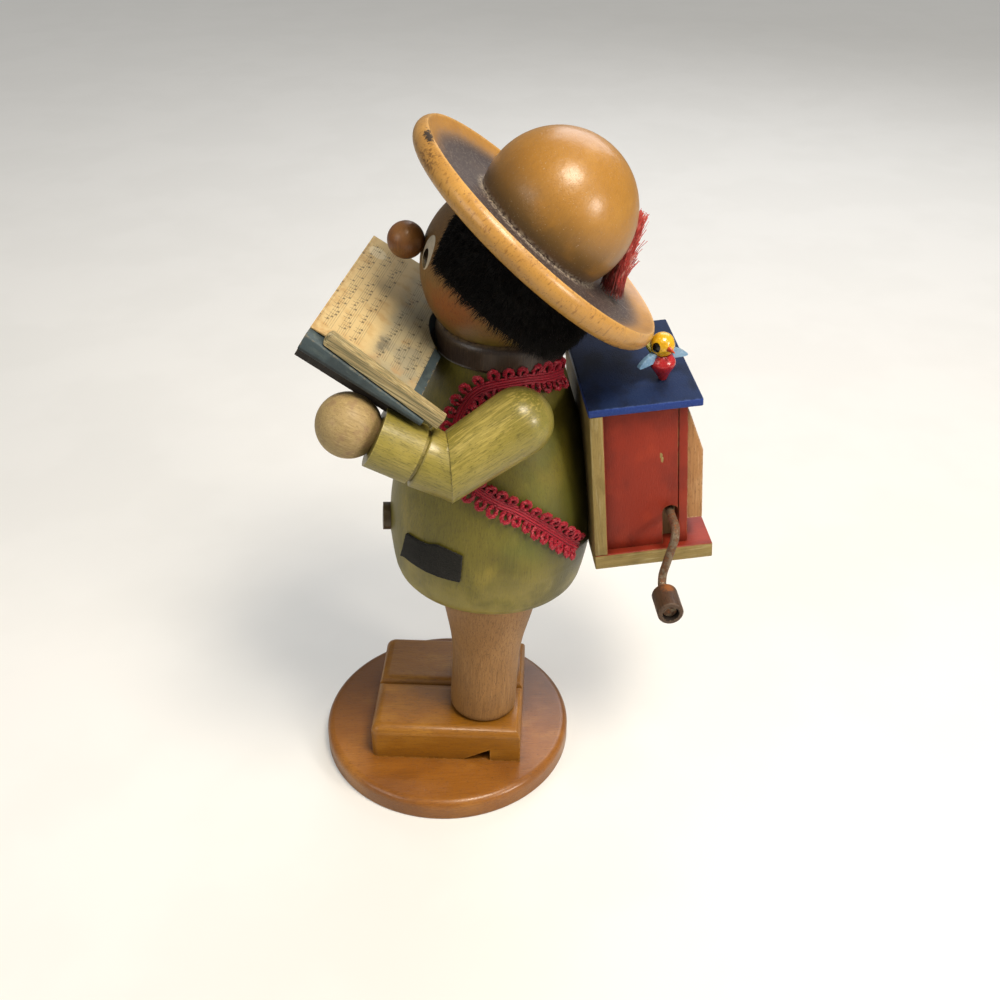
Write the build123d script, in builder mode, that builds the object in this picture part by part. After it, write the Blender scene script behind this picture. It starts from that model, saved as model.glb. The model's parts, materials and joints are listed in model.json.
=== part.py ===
from build123d import *
import os
from math import asin, cos, degrees, radians, sin, sqrt

# Incense smoker: a barrel organ player with a song book, in millimetres.
# The origin is the centre of the base disc's underside. The figure faces -Y and +Z is up.

os.makedirs("parts", exist_ok=True)

# Fits and finishes
running_gap = 0.08
glue_gap = 0.05
soft_gap = 0.3
cut_over = 5.0

# Base disc
base_r = 40.0
base_t = 7.0
base_top_round = 2.4
base_foot_round = 0.5

# Shoes, turned a little on the disc
shoe_w = 22.6
shoe_l = 47.6
shoe_t = 12.5
shoe_toe_ahead = 33.8
shoe_toe_round = 6.5
shoe_inner_round = 2.0
shoe_top_round = 3.2
instep_front = 29.0
instep_l = 9.0
instep_h = 4.6
feet_turn = 8.0

# Where the figure stands on the shoes, and how far it leans back
figure_back = 11.3
figure_lean = 3.0

# Legs
leg_x = 12.4
leg_r = 10.4
leg_flare_r = 12.2
leg_h = 39.5
leg_flare_share = 0.62
leg_lift = 0.05
tenon_r = 3.0
tenon_l = 6.0

# Waist plug, which the torso lifts off
collar_r = 19.4
collar_t = 3.0
spigot_h = 12.5
spigot_lead = 0.8

# Burner plate and its tack
plate_r = 13.0
plate_t = 0.5
plate_rim_h = 2.0
tack_r = 0.6
tack_l = 7.0
tack_head_r = 1.6
tack_head_t = 0.5

# Coat: a hollow turned body
coat_foot_r = 19.4
coat_belly_r = 30.0
coat_belly_h = 66.0
coat_shoulder_r = 25.2
coat_neck_r = 16.8
coat_top_h = 123.0
coat_neck_slope = 0.24
coat_foot_turn = 90.0
chamber_r = 16.0
flue_r = 5.5

# Levels that follow the coat's neck
coat_shoulder_h = coat_top_h - 26.0
chamber_top_h = coat_top_h - 23.0
head_h = coat_top_h + 23.0
book_up = coat_top_h + 10.7
organ_up = coat_top_h - 58.7

# Coat trimmings
button_r = 4.1
button_t = 2.2
button_heights = (coat_belly_h + 1.0, coat_belly_h + 25.0)
patch_t = 0.8

# Scarf ring round the neck
scarf_r = 18.0
scarf_h = 8.0
scarf_top_round = 2.4
scarf_foot_round = 1.2

# Head, nose and smoking mouth
head_r = 22.5
mouth_r = 3.5
mouth_drop = 7.0
nose_r = 4.9
nose_sink = 0.4
nose_angle = 18.0

# Hat, tipped on to the back of the head, whose top is sawn flat as its seat
hat_tilt = 42.0
hat_seat = 10.0
brim_mid = 12.7
brim_t = 7.6
brim_r = 41.0
lip_angle = 50.0
dish_low = 12.2
dish_low_r = 27.0
crown_r = 20.7
crown_mid = 20.6
crown_foot = 12.9

# Hair and feather, both soft
hair_r = 26.6
hair_back = 2.6
hair_drop = 1.6
hair_low = 11.7
hair_front_angle = 41.0
feather_w = 9.0
feather_t = 4.6
feather_l = 24.0
feather_back = 27.4
feather_tip = 21.0
feather_wide_share = 0.6

# Arms: shoulder, elbow, wrist and hand centres, out, ahead and up from the coat's neck
shoulder_r = 9.2
elbow_r = 8.1
forearm_elbow_r = 6.9
cuff_r = 8.2
cuff_t = 4.0
cuff_step = 0.5
hand_r = 8.6
peg_r = 2.5
peg_l = 13.0
shoulder_point = (28.0, 2.6, -8.0)
left_elbow = (32.0, -15.3, -19.5)
left_wrist = (30.0, -34.4, -11.2)
left_hand = (28.0, -41.0, -9.0)
right_elbow = (35.0, -10.3, -25.0)
right_wrist = (30.5, -24.2, -10.4)
right_hand = (27.9, -30.6, -6.4)

# Song book, held askew on the hands
book_w = 55.7
sheet_h = 29.7
sheet_t = 0.4
fold_rise = 0.5
block_inset = 0.5
block_t = 5.0
rebate_t = 0.9
rebate_in = 1.4
cover_t = 4.6
book_below_sheet = 2.5
book_ahead = 29.5
book_turn = 14.9
book_slope = 32.1
book_roll = 2.6
neck_hollow_over = 1.7

# Pointing stick along the book's left side, a squared strip with a rounded tip
stick_w = 3.2
stick_tip_round = 1.2
stick_from_edge = 4.4
stick_l = 35.4
stick_top_drop = 1.4
stick_foot_drop = 4.6

# Organ on the back
organ_back = 28.3
organ_tip = 7.5
organ_half_w = 24.5
organ_deep = 33.8
base_board_t = 4.8
board_edge_round = 0.5
back_board_t = 3.7
box_half_w = 22.0
side_t = 2.5
side_deep = 24.3
front_gap = 0.2
front_t = 2.5
box_top = 50.0
roof_t = 2.4
roof_over = 0.2
roof_deep = 30.5
pipe_front_t = 4.4
pipe_front_half_w = 21.0
pipe_foot = 12.0
pipe_shoulder = 34.3
pipe_tip = 46.5
pipe_tip_t = 0.7
pipe_count = 7
pipe_groove_r = 0.9

# Crank of bent wire with a loose wooden sleeve
wire_r = 1.2
crank_out = 22.2
crank_up = 15.0
crank_arm_x = 31.2
crank_arm_back = -3.6
crank_arm_drop = 16.8
crank_bend_r = 4.0
wire_head_r = 1.9
wire_head_t = 0.6
slot_w = 4.6
slot_arch_up = 15.4
bearing_x = 8.0
bearing_w = 9.5
bearing_deep = 8.6
bearing_h = 15.5
sleeve_r = 3.6
sleeve_l = 9.4
sleeve_from_arm = 5.5
sleeve_mouth_r = 2.3
sleeve_mouth_l = 2.2
sleeve_inner_mouth_l = 0.8
sleeve_round = 0.7

# Bird on the roof, facing out to the figure's left
bird_x = 11.5
bird_out = 22.2
bird_turn = 20.0
bird_body_r = 2.8
bird_body_h = 8.6
bird_foot_r = 0.9
bird_foot_flare = 0.3
bird_belly_share = 0.6
bird_neck_draw = 0.8
bird_head_r = 3.05
bird_head_h = 10.2
beak_r = 0.9
beak_l = 2.6
beak_taper = 12.0
wing_span = 7.4
wing_root_h = 5.6
wing_tip_h = 5.0
wing_w = 4.4
wing_t = 0.8
wing_top_share = 0.6
wing_top_rise_share = 0.4
wing_low_share = 0.5
tail_l = 7.0
tail_w = 3.6
tail_t = 0.8
tail_root_h = 3.6
tail_rise = 35.0

# Shoulder straps of braid, drawn from the side as a route over the coat, up from its neck
strap_w = 5.4
strap_t = 0.9
strap_lift = 0.3
strap_inner_x = 7.0
strap_route = (
    (20.5, -5.8), (13.3, -3.0), (3.7, -1.7), (-6.2, -4.4), (-11.2, -11.5),
    (-12.6, -20.0), (-9.6, -28.0), (-2.0, -33.2), (4.8, -36.6), (13.8, -43.9), (23.6, -54.6),
)

# Patch outline from the side, up from the coat's belly
patch_outline = (
    (-25.1, 6.1), (-20.0, 6.6), (-16.5, 7.7), (-10.2, 6.4),
    (-10.6, -2.4), (-19.2, -2.7), (-25.1, -2.7), (-26.6, -3.8),
)

# Frames
shoe_top = base_t + shoe_t
lean = radians(figure_lean)
figure = Plane((0, figure_back, shoe_top), x_dir=(1, 0, 0), z_dir=(0, sin(lean), cos(lean)))
feet = Plane(figure.location * Rot(0, 0, -feet_turn))
figure_axis = Axis(figure.origin, figure.z_dir)
head_frame = figure.offset(head_h)
tilt = radians(hat_tilt)
hat_frame = Plane(head_frame.origin, x_dir=(1, 0, 0), z_dir=(0, sin(tilt), cos(tilt)))
hat_axis = Axis(hat_frame.origin, hat_frame.z_dir)
organ_lean = lean - radians(organ_tip)
organ = Plane(
    figure.from_local_coords((0, organ_back, organ_up)),
    x_dir=(1, 0, 0),
    z_dir=(0, sin(organ_lean), cos(organ_lean)),
)
book_middle = Pos(figure.from_local_coords((0, -book_ahead, book_up)))
book = Plane(book_middle * Rot(0, 0, -book_turn) * Rot(-book_slope, 0, 0) * Rot(0, book_roll, 0))


def side_of(frame):
    """Upright sketch plane through a frame's axis: x runs outwards, y runs up the axis."""
    return Plane(frame.origin, x_dir=frame.x_dir, z_dir=-frame.y_dir)


def across(frame, x=0):
    """Sketch plane square to a frame's x: its x is the frame's y and its y the frame's z."""
    return Plane(frame.from_local_coords((x, 0, 0)), x_dir=frame.y_dir, z_dir=frame.x_dir)


def along(start, end):
    """Frame at a start point whose z runs towards an end point."""
    return Plane(start, z_dir=end - start)


def from_neck(point, side=1):
    """World place of a point given out, ahead and up from the coat's neck, on one side."""
    return figure.from_local_coords((side * point[0], point[1], coat_top_h + point[2]))


def save(part, name):
    """Labels a finished piece and writes its STEP file."""
    part.label = name
    export_step(part, "parts/" + name + ".step")


# Base disc, turned with a rounded top edge
with BuildPart() as base_disc:
    with BuildSketch():
        Circle(base_r)
    extrude(amount=base_t)
    fillet(base_disc.edges().group_by(Axis.Z)[-1], base_top_round)
    fillet(base_disc.edges().group_by(Axis.Z)[0], base_foot_round)
save(base_disc.part, "base_disc")

# Shoes: sawn blocks with an instep notch and a socket for the leg's tenon
shoe_floor = Plane(
    (0, figure_back, base_t),
    x_dir=(cos(radians(feet_turn)), -sin(radians(feet_turn)), 0),
    z_dir=(0, 0, 1),
)
for side, name in ((1, "left_shoe"), (-1, "right_shoe")):
    with BuildPart() as shoe:
        with BuildSketch(shoe_floor) as sole:
            with Locations((side * shoe_w / 2, shoe_l / 2 - shoe_toe_ahead)):
                Rectangle(shoe_w, shoe_l)
            toes = sole.vertices().group_by(Axis.Y)[0].sort_by(Axis.X)
            outer_toe = toes[-1] if side > 0 else toes[0]
            inner_toe = toes[0] if side > 0 else toes[-1]
            fillet(outer_toe, shoe_toe_round)
            fillet(inner_toe, shoe_inner_round)
        extrude(amount=shoe_t)
        fillet(shoe.faces().sort_by(Axis.Z)[-1].edges(), shoe_top_round)
        with BuildSketch(across(shoe_floor)):
            with BuildLine():
                notch_front = instep_front - shoe_toe_ahead
                Polyline(
                    (notch_front, 0),
                    (notch_front + instep_l, instep_h),
                    (notch_front + instep_l, 0),
                    close=True,
                )
            make_face()
        extrude(amount=shoe_w + cut_over, both=True, mode=Mode.SUBTRACT)
        with BuildSketch(feet.offset(-tenon_l)):
            with Locations((side * leg_x, 0)):
                Circle(tenon_r + glue_gap)
        extrude(amount=tenon_l + cut_over, mode=Mode.SUBTRACT)
    save(shoe.part, name)

# Legs: turned, with a domed foot, a flared top and a tenon at each end
for side, name in ((1, "left_leg"), (-1, "right_leg")):
    leg_frame = Plane(feet.from_local_coords((side * leg_x, 0, 0)), x_dir=feet.x_dir, z_dir=feet.z_dir)
    with BuildPart() as leg:
        with BuildSketch(side_of(leg_frame)):
            with BuildLine():
                dome_low = leg_lift + leg_r - sqrt(leg_r**2 - tenon_r**2)
                Polyline((tenon_r, dome_low), (tenon_r, -tenon_l), (0, -tenon_l))
                Line((0, -tenon_l), (0, leg_h + tenon_l))
                Polyline((0, leg_h + tenon_l), (tenon_r, leg_h + tenon_l), (tenon_r, leg_h))
                Line((tenon_r, leg_h), (leg_flare_r, leg_h))
                waist = (leg_r, leg_lift + leg_r)
                Spline(
                    (leg_flare_r, leg_h),
                    (leg_r, leg_h * leg_flare_share),
                    waist,
                    tangents=[(-(leg_flare_r - leg_r), -leg_r), (0, -1)],
                )
                RadiusArc(waist, (tenon_r, dome_low), leg_r)
            make_face()
        revolve(axis=Axis(leg_frame.origin, leg_frame.z_dir))
    save(leg.part, name)

# Waist plug: a collar that the coat stands on and a spigot that fits its bore
collar_low = leg_h
coat_foot_h = leg_h + collar_t
spigot_top = coat_foot_h + spigot_h
spigot_r = chamber_r - running_gap
with BuildPart() as waist_plug:
    with BuildSketch(figure.offset(collar_low)):
        Circle(collar_r)
    extrude(amount=collar_t)
    with BuildSketch(figure.offset(coat_foot_h)):
        Circle(spigot_r)
    extrude(amount=spigot_h)
    chamfer(waist_plug.edges().filter_by(GeomType.CIRCLE).sort_by(Axis.Z)[-1], spigot_lead)
    with BuildSketch(feet.offset(collar_low)):
        with Locations((leg_x, 0), (-leg_x, 0)):
            Circle(tenon_r + glue_gap)
    extrude(amount=tenon_l + glue_gap, mode=Mode.SUBTRACT)
    with BuildSketch(figure.offset(spigot_top)):
        Circle(tack_r + glue_gap)
    extrude(amount=-tack_l, mode=Mode.SUBTRACT)
save(waist_plug.part, "waist_plug")

# Burner plate: a pressed dish with a turned-up rim
with BuildPart() as burner_plate:
    with BuildSketch(side_of(figure)):
        with BuildLine():
            Polyline(
                (tack_r + glue_gap, spigot_top),
                (plate_r, spigot_top),
                (plate_r, spigot_top + plate_rim_h),
                (plate_r - plate_t, spigot_top + plate_rim_h),
                (plate_r - plate_t, spigot_top + plate_t),
                (tack_r + glue_gap, spigot_top + plate_t),
                close=True,
            )
        make_face()
    revolve(axis=figure_axis)
save(burner_plate.part, "burner_plate")

with BuildPart() as burner_tack:
    with BuildSketch(figure.offset(spigot_top + plate_t)):
        Circle(tack_head_r)
    extrude(amount=tack_head_t)
    fillet(burner_tack.edges().sort_by(Axis.Z)[-1], tack_head_t / 2)
    with BuildSketch(figure.offset(spigot_top + plate_t)):
        Circle(tack_r)
    extrude(amount=-(tack_l - tack_head_t))
save(burner_tack.part, "burner_tack")


def coat_outline(grow=0):
    """Coat's outer line from foot to neck, moved out by a growth all over."""
    foot = EllipticalCenterArc(
        (coat_foot_r, coat_belly_h),
        coat_belly_r - coat_foot_r + grow,
        coat_belly_h - coat_foot_h + grow,
        start_angle=-coat_foot_turn,
        arc_size=coat_foot_turn,
    )
    back = Spline(
        foot @ 1,
        (coat_shoulder_r + grow, coat_shoulder_h),
        (coat_neck_r + grow, coat_top_h),
        tangents=[(0, 1), (-coat_neck_slope, 1)],
    )
    return foot, back


def coat_form(grow=0):
    """The coat's solid outer form, moved out by a growth all over."""
    with BuildPart() as form:
        with BuildSketch(side_of(figure)):
            with BuildLine():
                foot_line, back_line = coat_outline(grow)
                Polyline(back_line @ 1, (0, coat_top_h), (0, coat_foot_h - grow), foot_line @ 0)
            make_face()
        revolve(axis=figure_axis)
    return form.part


# Coat: bored out as a smoke chamber, with a flue to the neck and a flat for the organ
with BuildPart() as coat:
    with BuildSketch(side_of(figure)):
        with BuildLine():
            foot_line, back_line = coat_outline()
            Polyline(
                back_line @ 1,
                (flue_r, coat_top_h),
                (flue_r, chamber_top_h + chamber_r - flue_r),
                (chamber_r, chamber_top_h),
                (chamber_r, coat_foot_h),
                foot_line @ 0,
            )
        make_face()
    revolve(axis=figure_axis)
    with BuildSketch(organ.offset(-cut_over)):
        with Locations((0, organ_deep / 2)):
            Rectangle(2 * organ_half_w, organ_deep)
    extrude(amount=box_top + roof_t + 2 * cut_over, mode=Mode.SUBTRACT)
    for side in (1, -1):
        peg_frame = Plane(from_neck(shoulder_point, side), x_dir=figure.y_dir, z_dir=figure.x_dir * -side)
        with BuildSketch(peg_frame):
            Circle(peg_r + glue_gap)
        extrude(amount=peg_l, mode=Mode.SUBTRACT)
save(coat.part, "coat")

# Buttons down the front, hollowed at the back to the coat's round
coat_solid = coat_form()
button_form = coat_form(button_t)
with BuildPart() as coat_buttons:
    for height in button_heights:
        seat = Plane(figure.from_local_coords((0, 0, height)), x_dir=(1, 0, 0), z_dir=-figure.y_dir)
        with BuildSketch(seat):
            Circle(button_r)
        extrude(amount=coat_belly_r + cut_over)
    add(button_form, mode=Mode.INTERSECT)
    add(coat_solid, mode=Mode.SUBTRACT)
save(coat_buttons.part, "coat_buttons")

# Felt patch on the coat's left front
patch_outside = coat_form(patch_t)
patch_inside = coat_form(glue_gap)
with BuildPart() as coat_patch:
    add(patch_outside)
    add(patch_inside, mode=Mode.SUBTRACT)
    with BuildSketch(across(figure.offset(coat_belly_h))):
        with BuildLine():
            Polyline(*patch_outline, close=True)
        make_face()
    extrude(amount=coat_belly_r + cut_over, mode=Mode.INTERSECT)
save(coat_patch.part, "coat_patch")

# Straps: braid that lies on the coat and ends at the organ's back board
board_face = Plane(organ.origin - organ.y_dir * glue_gap, x_dir=organ.x_dir, z_dir=organ.y_dir)
strap_outside = coat_form(strap_lift + strap_t)
strap_inside = coat_form(strap_lift)
for side, name in ((1, "left_strap"), (-1, "right_strap")):
    with BuildPart() as strap:
        with BuildSketch(across(figure.offset(coat_top_h), side * strap_inner_x)):
            with BuildLine():
                Spline(*strap_route)
            trace(line_width=strap_w)
        extrude(amount=side * coat_belly_r)
        add(strap_outside, mode=Mode.INTERSECT)
        add(strap_inside, mode=Mode.SUBTRACT)
        split(bisect_by=board_face, keep=Keep.BOTTOM)
    save(strap.part, name)

# Scarf ring with a seat for the head
with BuildPart() as neck_scarf:
    with BuildSketch(figure.offset(coat_top_h)):
        Circle(scarf_r)
        Circle(flue_r, mode=Mode.SUBTRACT)
    extrude(amount=scarf_h)
    rims = neck_scarf.edges().filter_by(GeomType.CIRCLE).group_by(SortBy.RADIUS)[-1].sort_by(Axis.Z)
    fillet(rims[-1], scarf_top_round)
    rims = neck_scarf.edges().filter_by(GeomType.CIRCLE).group_by(Axis.Z)[0].sort_by(SortBy.RADIUS)
    fillet(rims[-1], scarf_foot_round)
    with Locations(head_frame.location):
        Sphere(head_r + glue_gap, mode=Mode.SUBTRACT)
save(neck_scarf.part, "neck_scarf")

# Head: a ball sawn flat under the hat, the flue bored up from the neck and the mouth in from the front
with BuildPart() as head:
    with Locations(head_frame.location):
        Sphere(head_r)
    split(bisect_by=hat_frame.offset(hat_seat), keep=Keep.BOTTOM)
    with BuildSketch(figure.offset(head_h - head_r - cut_over)):
        Circle(flue_r)
    extrude(amount=head_r + cut_over, mode=Mode.SUBTRACT)
    mouth_frame = Plane(
        figure.from_local_coords((0, 0, head_h - mouth_drop)), x_dir=(1, 0, 0), z_dir=-figure.y_dir
    )
    with BuildSketch(mouth_frame):
        Circle(mouth_r)
    extrude(amount=head_r, mode=Mode.SUBTRACT)
save(head.part, "head")

# Nose ball, glued on
nose_dir = Vector(0, -cos(radians(nose_angle)), sin(radians(nose_angle)))
with BuildPart() as nose:
    with Locations(head_frame.origin + nose_dir * (head_r + nose_r - nose_sink)):
        Sphere(nose_r)
    with Locations(head_frame.location):
        Sphere(head_r + glue_gap, mode=Mode.SUBTRACT)
save(nose.part, "nose")

# Hat: a round rim, a brim dished from its lip to the crown's foot, a ball crown and a recess for the head
brim_low = brim_mid - brim_t / 2
seat_r = head_r + glue_gap
seat_low_angle = degrees(asin(brim_low / seat_r))
seat_high_angle = degrees(asin((hat_seat + glue_gap) / seat_r))
crown_foot_angle = degrees(asin((crown_mid - crown_foot) / crown_r))
with BuildPart() as hat:
    with BuildSketch(side_of(hat_frame)):
        with BuildLine():
            crown = CenterArc((0, crown_mid), crown_r, -crown_foot_angle, 90 + crown_foot_angle)
            rim = CenterArc((brim_r - brim_t / 2, brim_mid), brim_t / 2, -90, 90 + lip_angle)
            ThreePointArc(crown @ 0, (dish_low_r, dish_low), rim @ 1)
            seat = CenterArc((0, 0), seat_r, seat_low_angle, seat_high_angle - seat_low_angle)
            Line(rim @ 0, seat @ 0)
            Polyline(seat @ 1, (0, hat_seat + glue_gap), crown @ 1)
        make_face()
    revolve(axis=hat_axis)
save(hat.part, "hat")

# Hair: a fur band under the brim, from temple to temple round the nape
with BuildPart() as hair:
    with Locations(hat_frame.from_local_coords((0, hair_back, -hair_drop))):
        Sphere(hair_r)
    with BuildSketch(hat_frame.offset(-hair_low)):
        Circle(hair_r + hair_back + cut_over)
    extrude(amount=hair_low + brim_low - soft_gap, mode=Mode.INTERSECT)
    with Locations(hat_frame.location):
        Sphere(head_r + soft_gap, mode=Mode.SUBTRACT)
    with BuildSketch(hat_frame.offset(-hair_r - cut_over)):
        with BuildLine():
            reach = hair_r + hair_back + cut_over
            front = radians(hair_front_angle)
            Polyline(
                (0, 0),
                (reach * cos(front), -reach * sin(front)),
                (reach, -2 * reach),
                (-reach, -2 * reach),
                (-reach * cos(front), -reach * sin(front)),
                close=True,
            )
        make_face()
    extrude(amount=2 * (hair_r + cut_over), mode=Mode.SUBTRACT)
    with BuildSketch(figure.offset(coat_top_h + scarf_h + soft_gap)):
        Circle(scarf_r + soft_gap)
    extrude(amount=-head_h, mode=Mode.SUBTRACT)
    with BuildSketch(figure.offset(coat_top_h + soft_gap)):
        Circle(2 * hair_r)
    extrude(amount=-head_h, mode=Mode.SUBTRACT)
save(hair.part, "hair")

# Feather tuft behind the crown
feather_foot = Pos(0, feather_back, crown_foot + 3 * soft_gap)
feather_frame = Plane(hat_frame.location * feather_foot * Rot(feather_tip, 0, 0))
feather_wide = feather_l * feather_wide_share
with BuildPart() as hat_feather:
    with BuildSketch(side_of(feather_frame)):
        with BuildLine():
            Spline((0, 0), (feather_w / 2, feather_wide), (0, feather_l), tangents=[(1, 1), (-1, 1)])
            Spline((0, 0), (-feather_w / 2, feather_wide), (0, feather_l), tangents=[(-1, 1), (1, 1)])
        make_face()
    extrude(amount=feather_t / 2, both=True)
save(hat_feather.part, "hat_feather")

# Song book: cover board, page block and the song sheet glued on top
neck_clear = scarf_r + neck_hollow_over
sheet_top_edge = -sheet_h / 2
sheet_low_edge = sheet_h / 2
board_low_edge = sheet_low_edge + book_below_sheet
with BuildPart() as neck_form:
    with BuildSketch(figure.offset(coat_top_h - 2 * cut_over)):
        Circle(neck_clear)
    extrude(amount=scarf_h + 4 * cut_over)

with BuildPart() as song_sheet:
    with BuildSketch(across(book, -book_w / 2)):
        with BuildLine():
            Polyline(
                (sheet_top_edge, 0),
                (0, fold_rise),
                (sheet_low_edge, 0),
                (sheet_low_edge, -sheet_t),
                (0, fold_rise - sheet_t),
                (sheet_top_edge, -sheet_t),
                close=True,
            )
        make_face()
    extrude(amount=book_w)
    add(neck_form.part, mode=Mode.SUBTRACT)
save(song_sheet.part, "song_sheet")

with BuildPart() as page_block:
    block_low = -sheet_t - block_t
    with BuildSketch(across(book, block_inset - book_w / 2)):
        with BuildLine():
            Polyline(
                (sheet_top_edge, -sheet_t),
                (0, fold_rise - sheet_t),
                (sheet_low_edge, -sheet_t),
                (board_low_edge, -sheet_t),
                (board_low_edge, block_low),
                (sheet_top_edge, block_low),
                close=True,
            )
        make_face()
    extrude(amount=book_w - 2 * block_inset)
    with BuildSketch(book.offset(block_low)):
        with Locations((0, (sheet_top_edge + board_low_edge) / 2)):
            Rectangle(2 * book_w, 2 * sheet_h)
            Rectangle(
                book_w - 2 * block_inset - 2 * rebate_in,
                board_low_edge - sheet_top_edge - 2 * rebate_in,
                mode=Mode.SUBTRACT,
            )
    extrude(amount=rebate_t, mode=Mode.SUBTRACT)
    add(neck_form.part, mode=Mode.SUBTRACT)
save(page_block.part, "page_block")

with BuildPart() as book_cover:
    with BuildSketch(book.offset(-sheet_t - block_t)):
        with Locations((0, (sheet_top_edge + board_low_edge) / 2)):
            Rectangle(book_w, board_low_edge - sheet_top_edge)
    extrude(amount=-cover_t)
    add(neck_form.part, mode=Mode.SUBTRACT)
save(book_cover.part, "book_cover")

# Pointing stick, laid along the side of the page block
stick_x = book_w / 2 + stick_w / 2 + glue_gap
stick_top = book.from_local_coords((stick_x, sheet_top_edge + stick_from_edge, -stick_top_drop))
stick_foot = book.from_local_coords(
    (stick_x, sheet_top_edge + stick_from_edge + stick_l, -stick_foot_drop)
)
with BuildPart() as pointing_stick:
    with BuildSketch(Plane(stick_foot, x_dir=book.x_dir, z_dir=stick_top - stick_foot)):
        Rectangle(stick_w, stick_w)
    extrude(amount=(stick_top - stick_foot).length)
    tip = pointing_stick.faces().sort_by(Axis(stick_foot, stick_top - stick_foot))[-1]
    fillet(tip.edges(), stick_tip_round)
save(pointing_stick.part, "pointing_stick")

# Arms: upper arm and forearm meet on a mitre at the elbow, and a peg holds the shoulder
arm_points = (
    ("left", 1, left_elbow, left_wrist, left_hand),
    ("right", -1, right_elbow, right_wrist, right_hand),
)
for side_name, side, elbow_at, wrist_at, hand_at in arm_points:
    shoulder, elbow, wrist, palm = [
        from_neck(point, side) for point in (shoulder_point, elbow_at, wrist_at, hand_at)
    ]
    upper_dir = (elbow - shoulder).normalized()
    lower_dir = (wrist - elbow).normalized()
    mitre = Plane(elbow, z_dir=upper_dir + lower_dir)
    peg_frame = Plane(shoulder, x_dir=figure.y_dir, z_dir=figure.x_dir * -side)
    peg_out = peg_l - shoulder_r

    with BuildPart() as upper_arm:
        upper_frame = along(shoulder, elbow)
        upper_l = (elbow - shoulder).length
        with BuildSketch(side_of(upper_frame)):
            with BuildLine():
                dome = CenterArc((0, 0), shoulder_r, -90, 90)
                Polyline(dome @ 1, (elbow_r, upper_l + elbow_r), (0, upper_l + elbow_r), dome @ 0)
            make_face()
        revolve(axis=Axis(upper_frame.origin, upper_frame.z_dir))
        split(bisect_by=mitre, keep=Keep.BOTTOM)
        add(coat.part, mode=Mode.SUBTRACT)
        with BuildSketch(peg_frame):
            Circle(peg_r + glue_gap)
        extrude(amount=2 * shoulder_r, mode=Mode.SUBTRACT)
    save(upper_arm.part, side_name + "_upper_arm")

    with BuildPart() as shoulder_peg:
        with BuildSketch(peg_frame):
            Circle(peg_r)
        extrude(amount=peg_l)
    save(shoulder_peg.part, side_name + "_shoulder_peg")

    with BuildPart() as forearm:
        lower_frame = along(elbow, wrist)
        lower_l = (wrist - elbow).length
        with BuildSketch(side_of(lower_frame)):
            with BuildLine():
                Polyline(
                    (0, -elbow_r),
                    (forearm_elbow_r, -elbow_r),
                    (forearm_elbow_r, 0),
                    (cuff_r - cuff_step, lower_l - cuff_t),
                    (cuff_r, lower_l - cuff_t),
                    (cuff_r, lower_l),
                    (tenon_r + glue_gap, lower_l),
                    (tenon_r + glue_gap, lower_l - tenon_l),
                    (0, lower_l - tenon_l),
                    close=True,
                )
            make_face()
        revolve(axis=Axis(lower_frame.origin, lower_frame.z_dir))
        split(bisect_by=mitre, keep=Keep.TOP)
        add(book_cover.part, mode=Mode.SUBTRACT)
    save(forearm.part, side_name + "_forearm")

    with BuildPart() as hand:
        wrist_frame = Plane(wrist, x_dir=lower_frame.x_dir, z_dir=lower_dir)
        with Locations(palm):
            Sphere(hand_r)
        split(bisect_by=wrist_frame, keep=Keep.TOP)
        with BuildSketch(wrist_frame.offset(-(tenon_l - glue_gap))):
            Circle(tenon_r)
        extrude(amount=tenon_l + hand_r / 2)
        add(book_cover.part, mode=Mode.SUBTRACT)
    save(hand.part, side_name + "_hand")

# Organ case: boards on a base, with a roof
with BuildPart() as organ_base:
    with BuildSketch(organ):
        with Locations((0, organ_deep / 2)):
            Rectangle(2 * organ_half_w, organ_deep)
    extrude(amount=base_board_t)
    fillet(organ_base.edges().filter_by(Axis(organ.origin, organ.x_dir)), board_edge_round)
save(organ_base.part, "organ_base")

with BuildPart() as organ_back_board:
    with BuildSketch(organ.offset(base_board_t)):
        with Locations((0, back_board_t / 2)):
            Rectangle(2 * organ_half_w, back_board_t)
    extrude(amount=box_top - base_board_t)
save(organ_back_board.part, "organ_back_board")

for side, name in ((1, "organ_left_side"), (-1, "organ_right_side")):
    with BuildPart() as organ_side:
        with BuildSketch(organ.offset(base_board_t)):
            with Locations((side * (box_half_w - side_t / 2), (back_board_t + side_deep) / 2)):
                Rectangle(side_t, side_deep - back_board_t)
        extrude(amount=box_top - base_board_t)
        if side > 0:
            with BuildSketch(across(organ, box_half_w - side_t - cut_over)):
                with Locations((crank_out, slot_arch_up)):
                    Circle(slot_w / 2)
                with Locations((crank_out, slot_arch_up / 2)):
                    Rectangle(slot_w, slot_arch_up)
            extrude(amount=side_t + 2 * cut_over, mode=Mode.SUBTRACT)
    save(organ_side.part, name)

with BuildPart() as organ_front_board:
    with BuildSketch(organ.offset(base_board_t)):
        with Locations((0, side_deep + front_gap + front_t / 2)):
            Rectangle(2 * box_half_w, front_t)
    extrude(amount=box_top - base_board_t)
save(organ_front_board.part, "organ_front_board")

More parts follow.
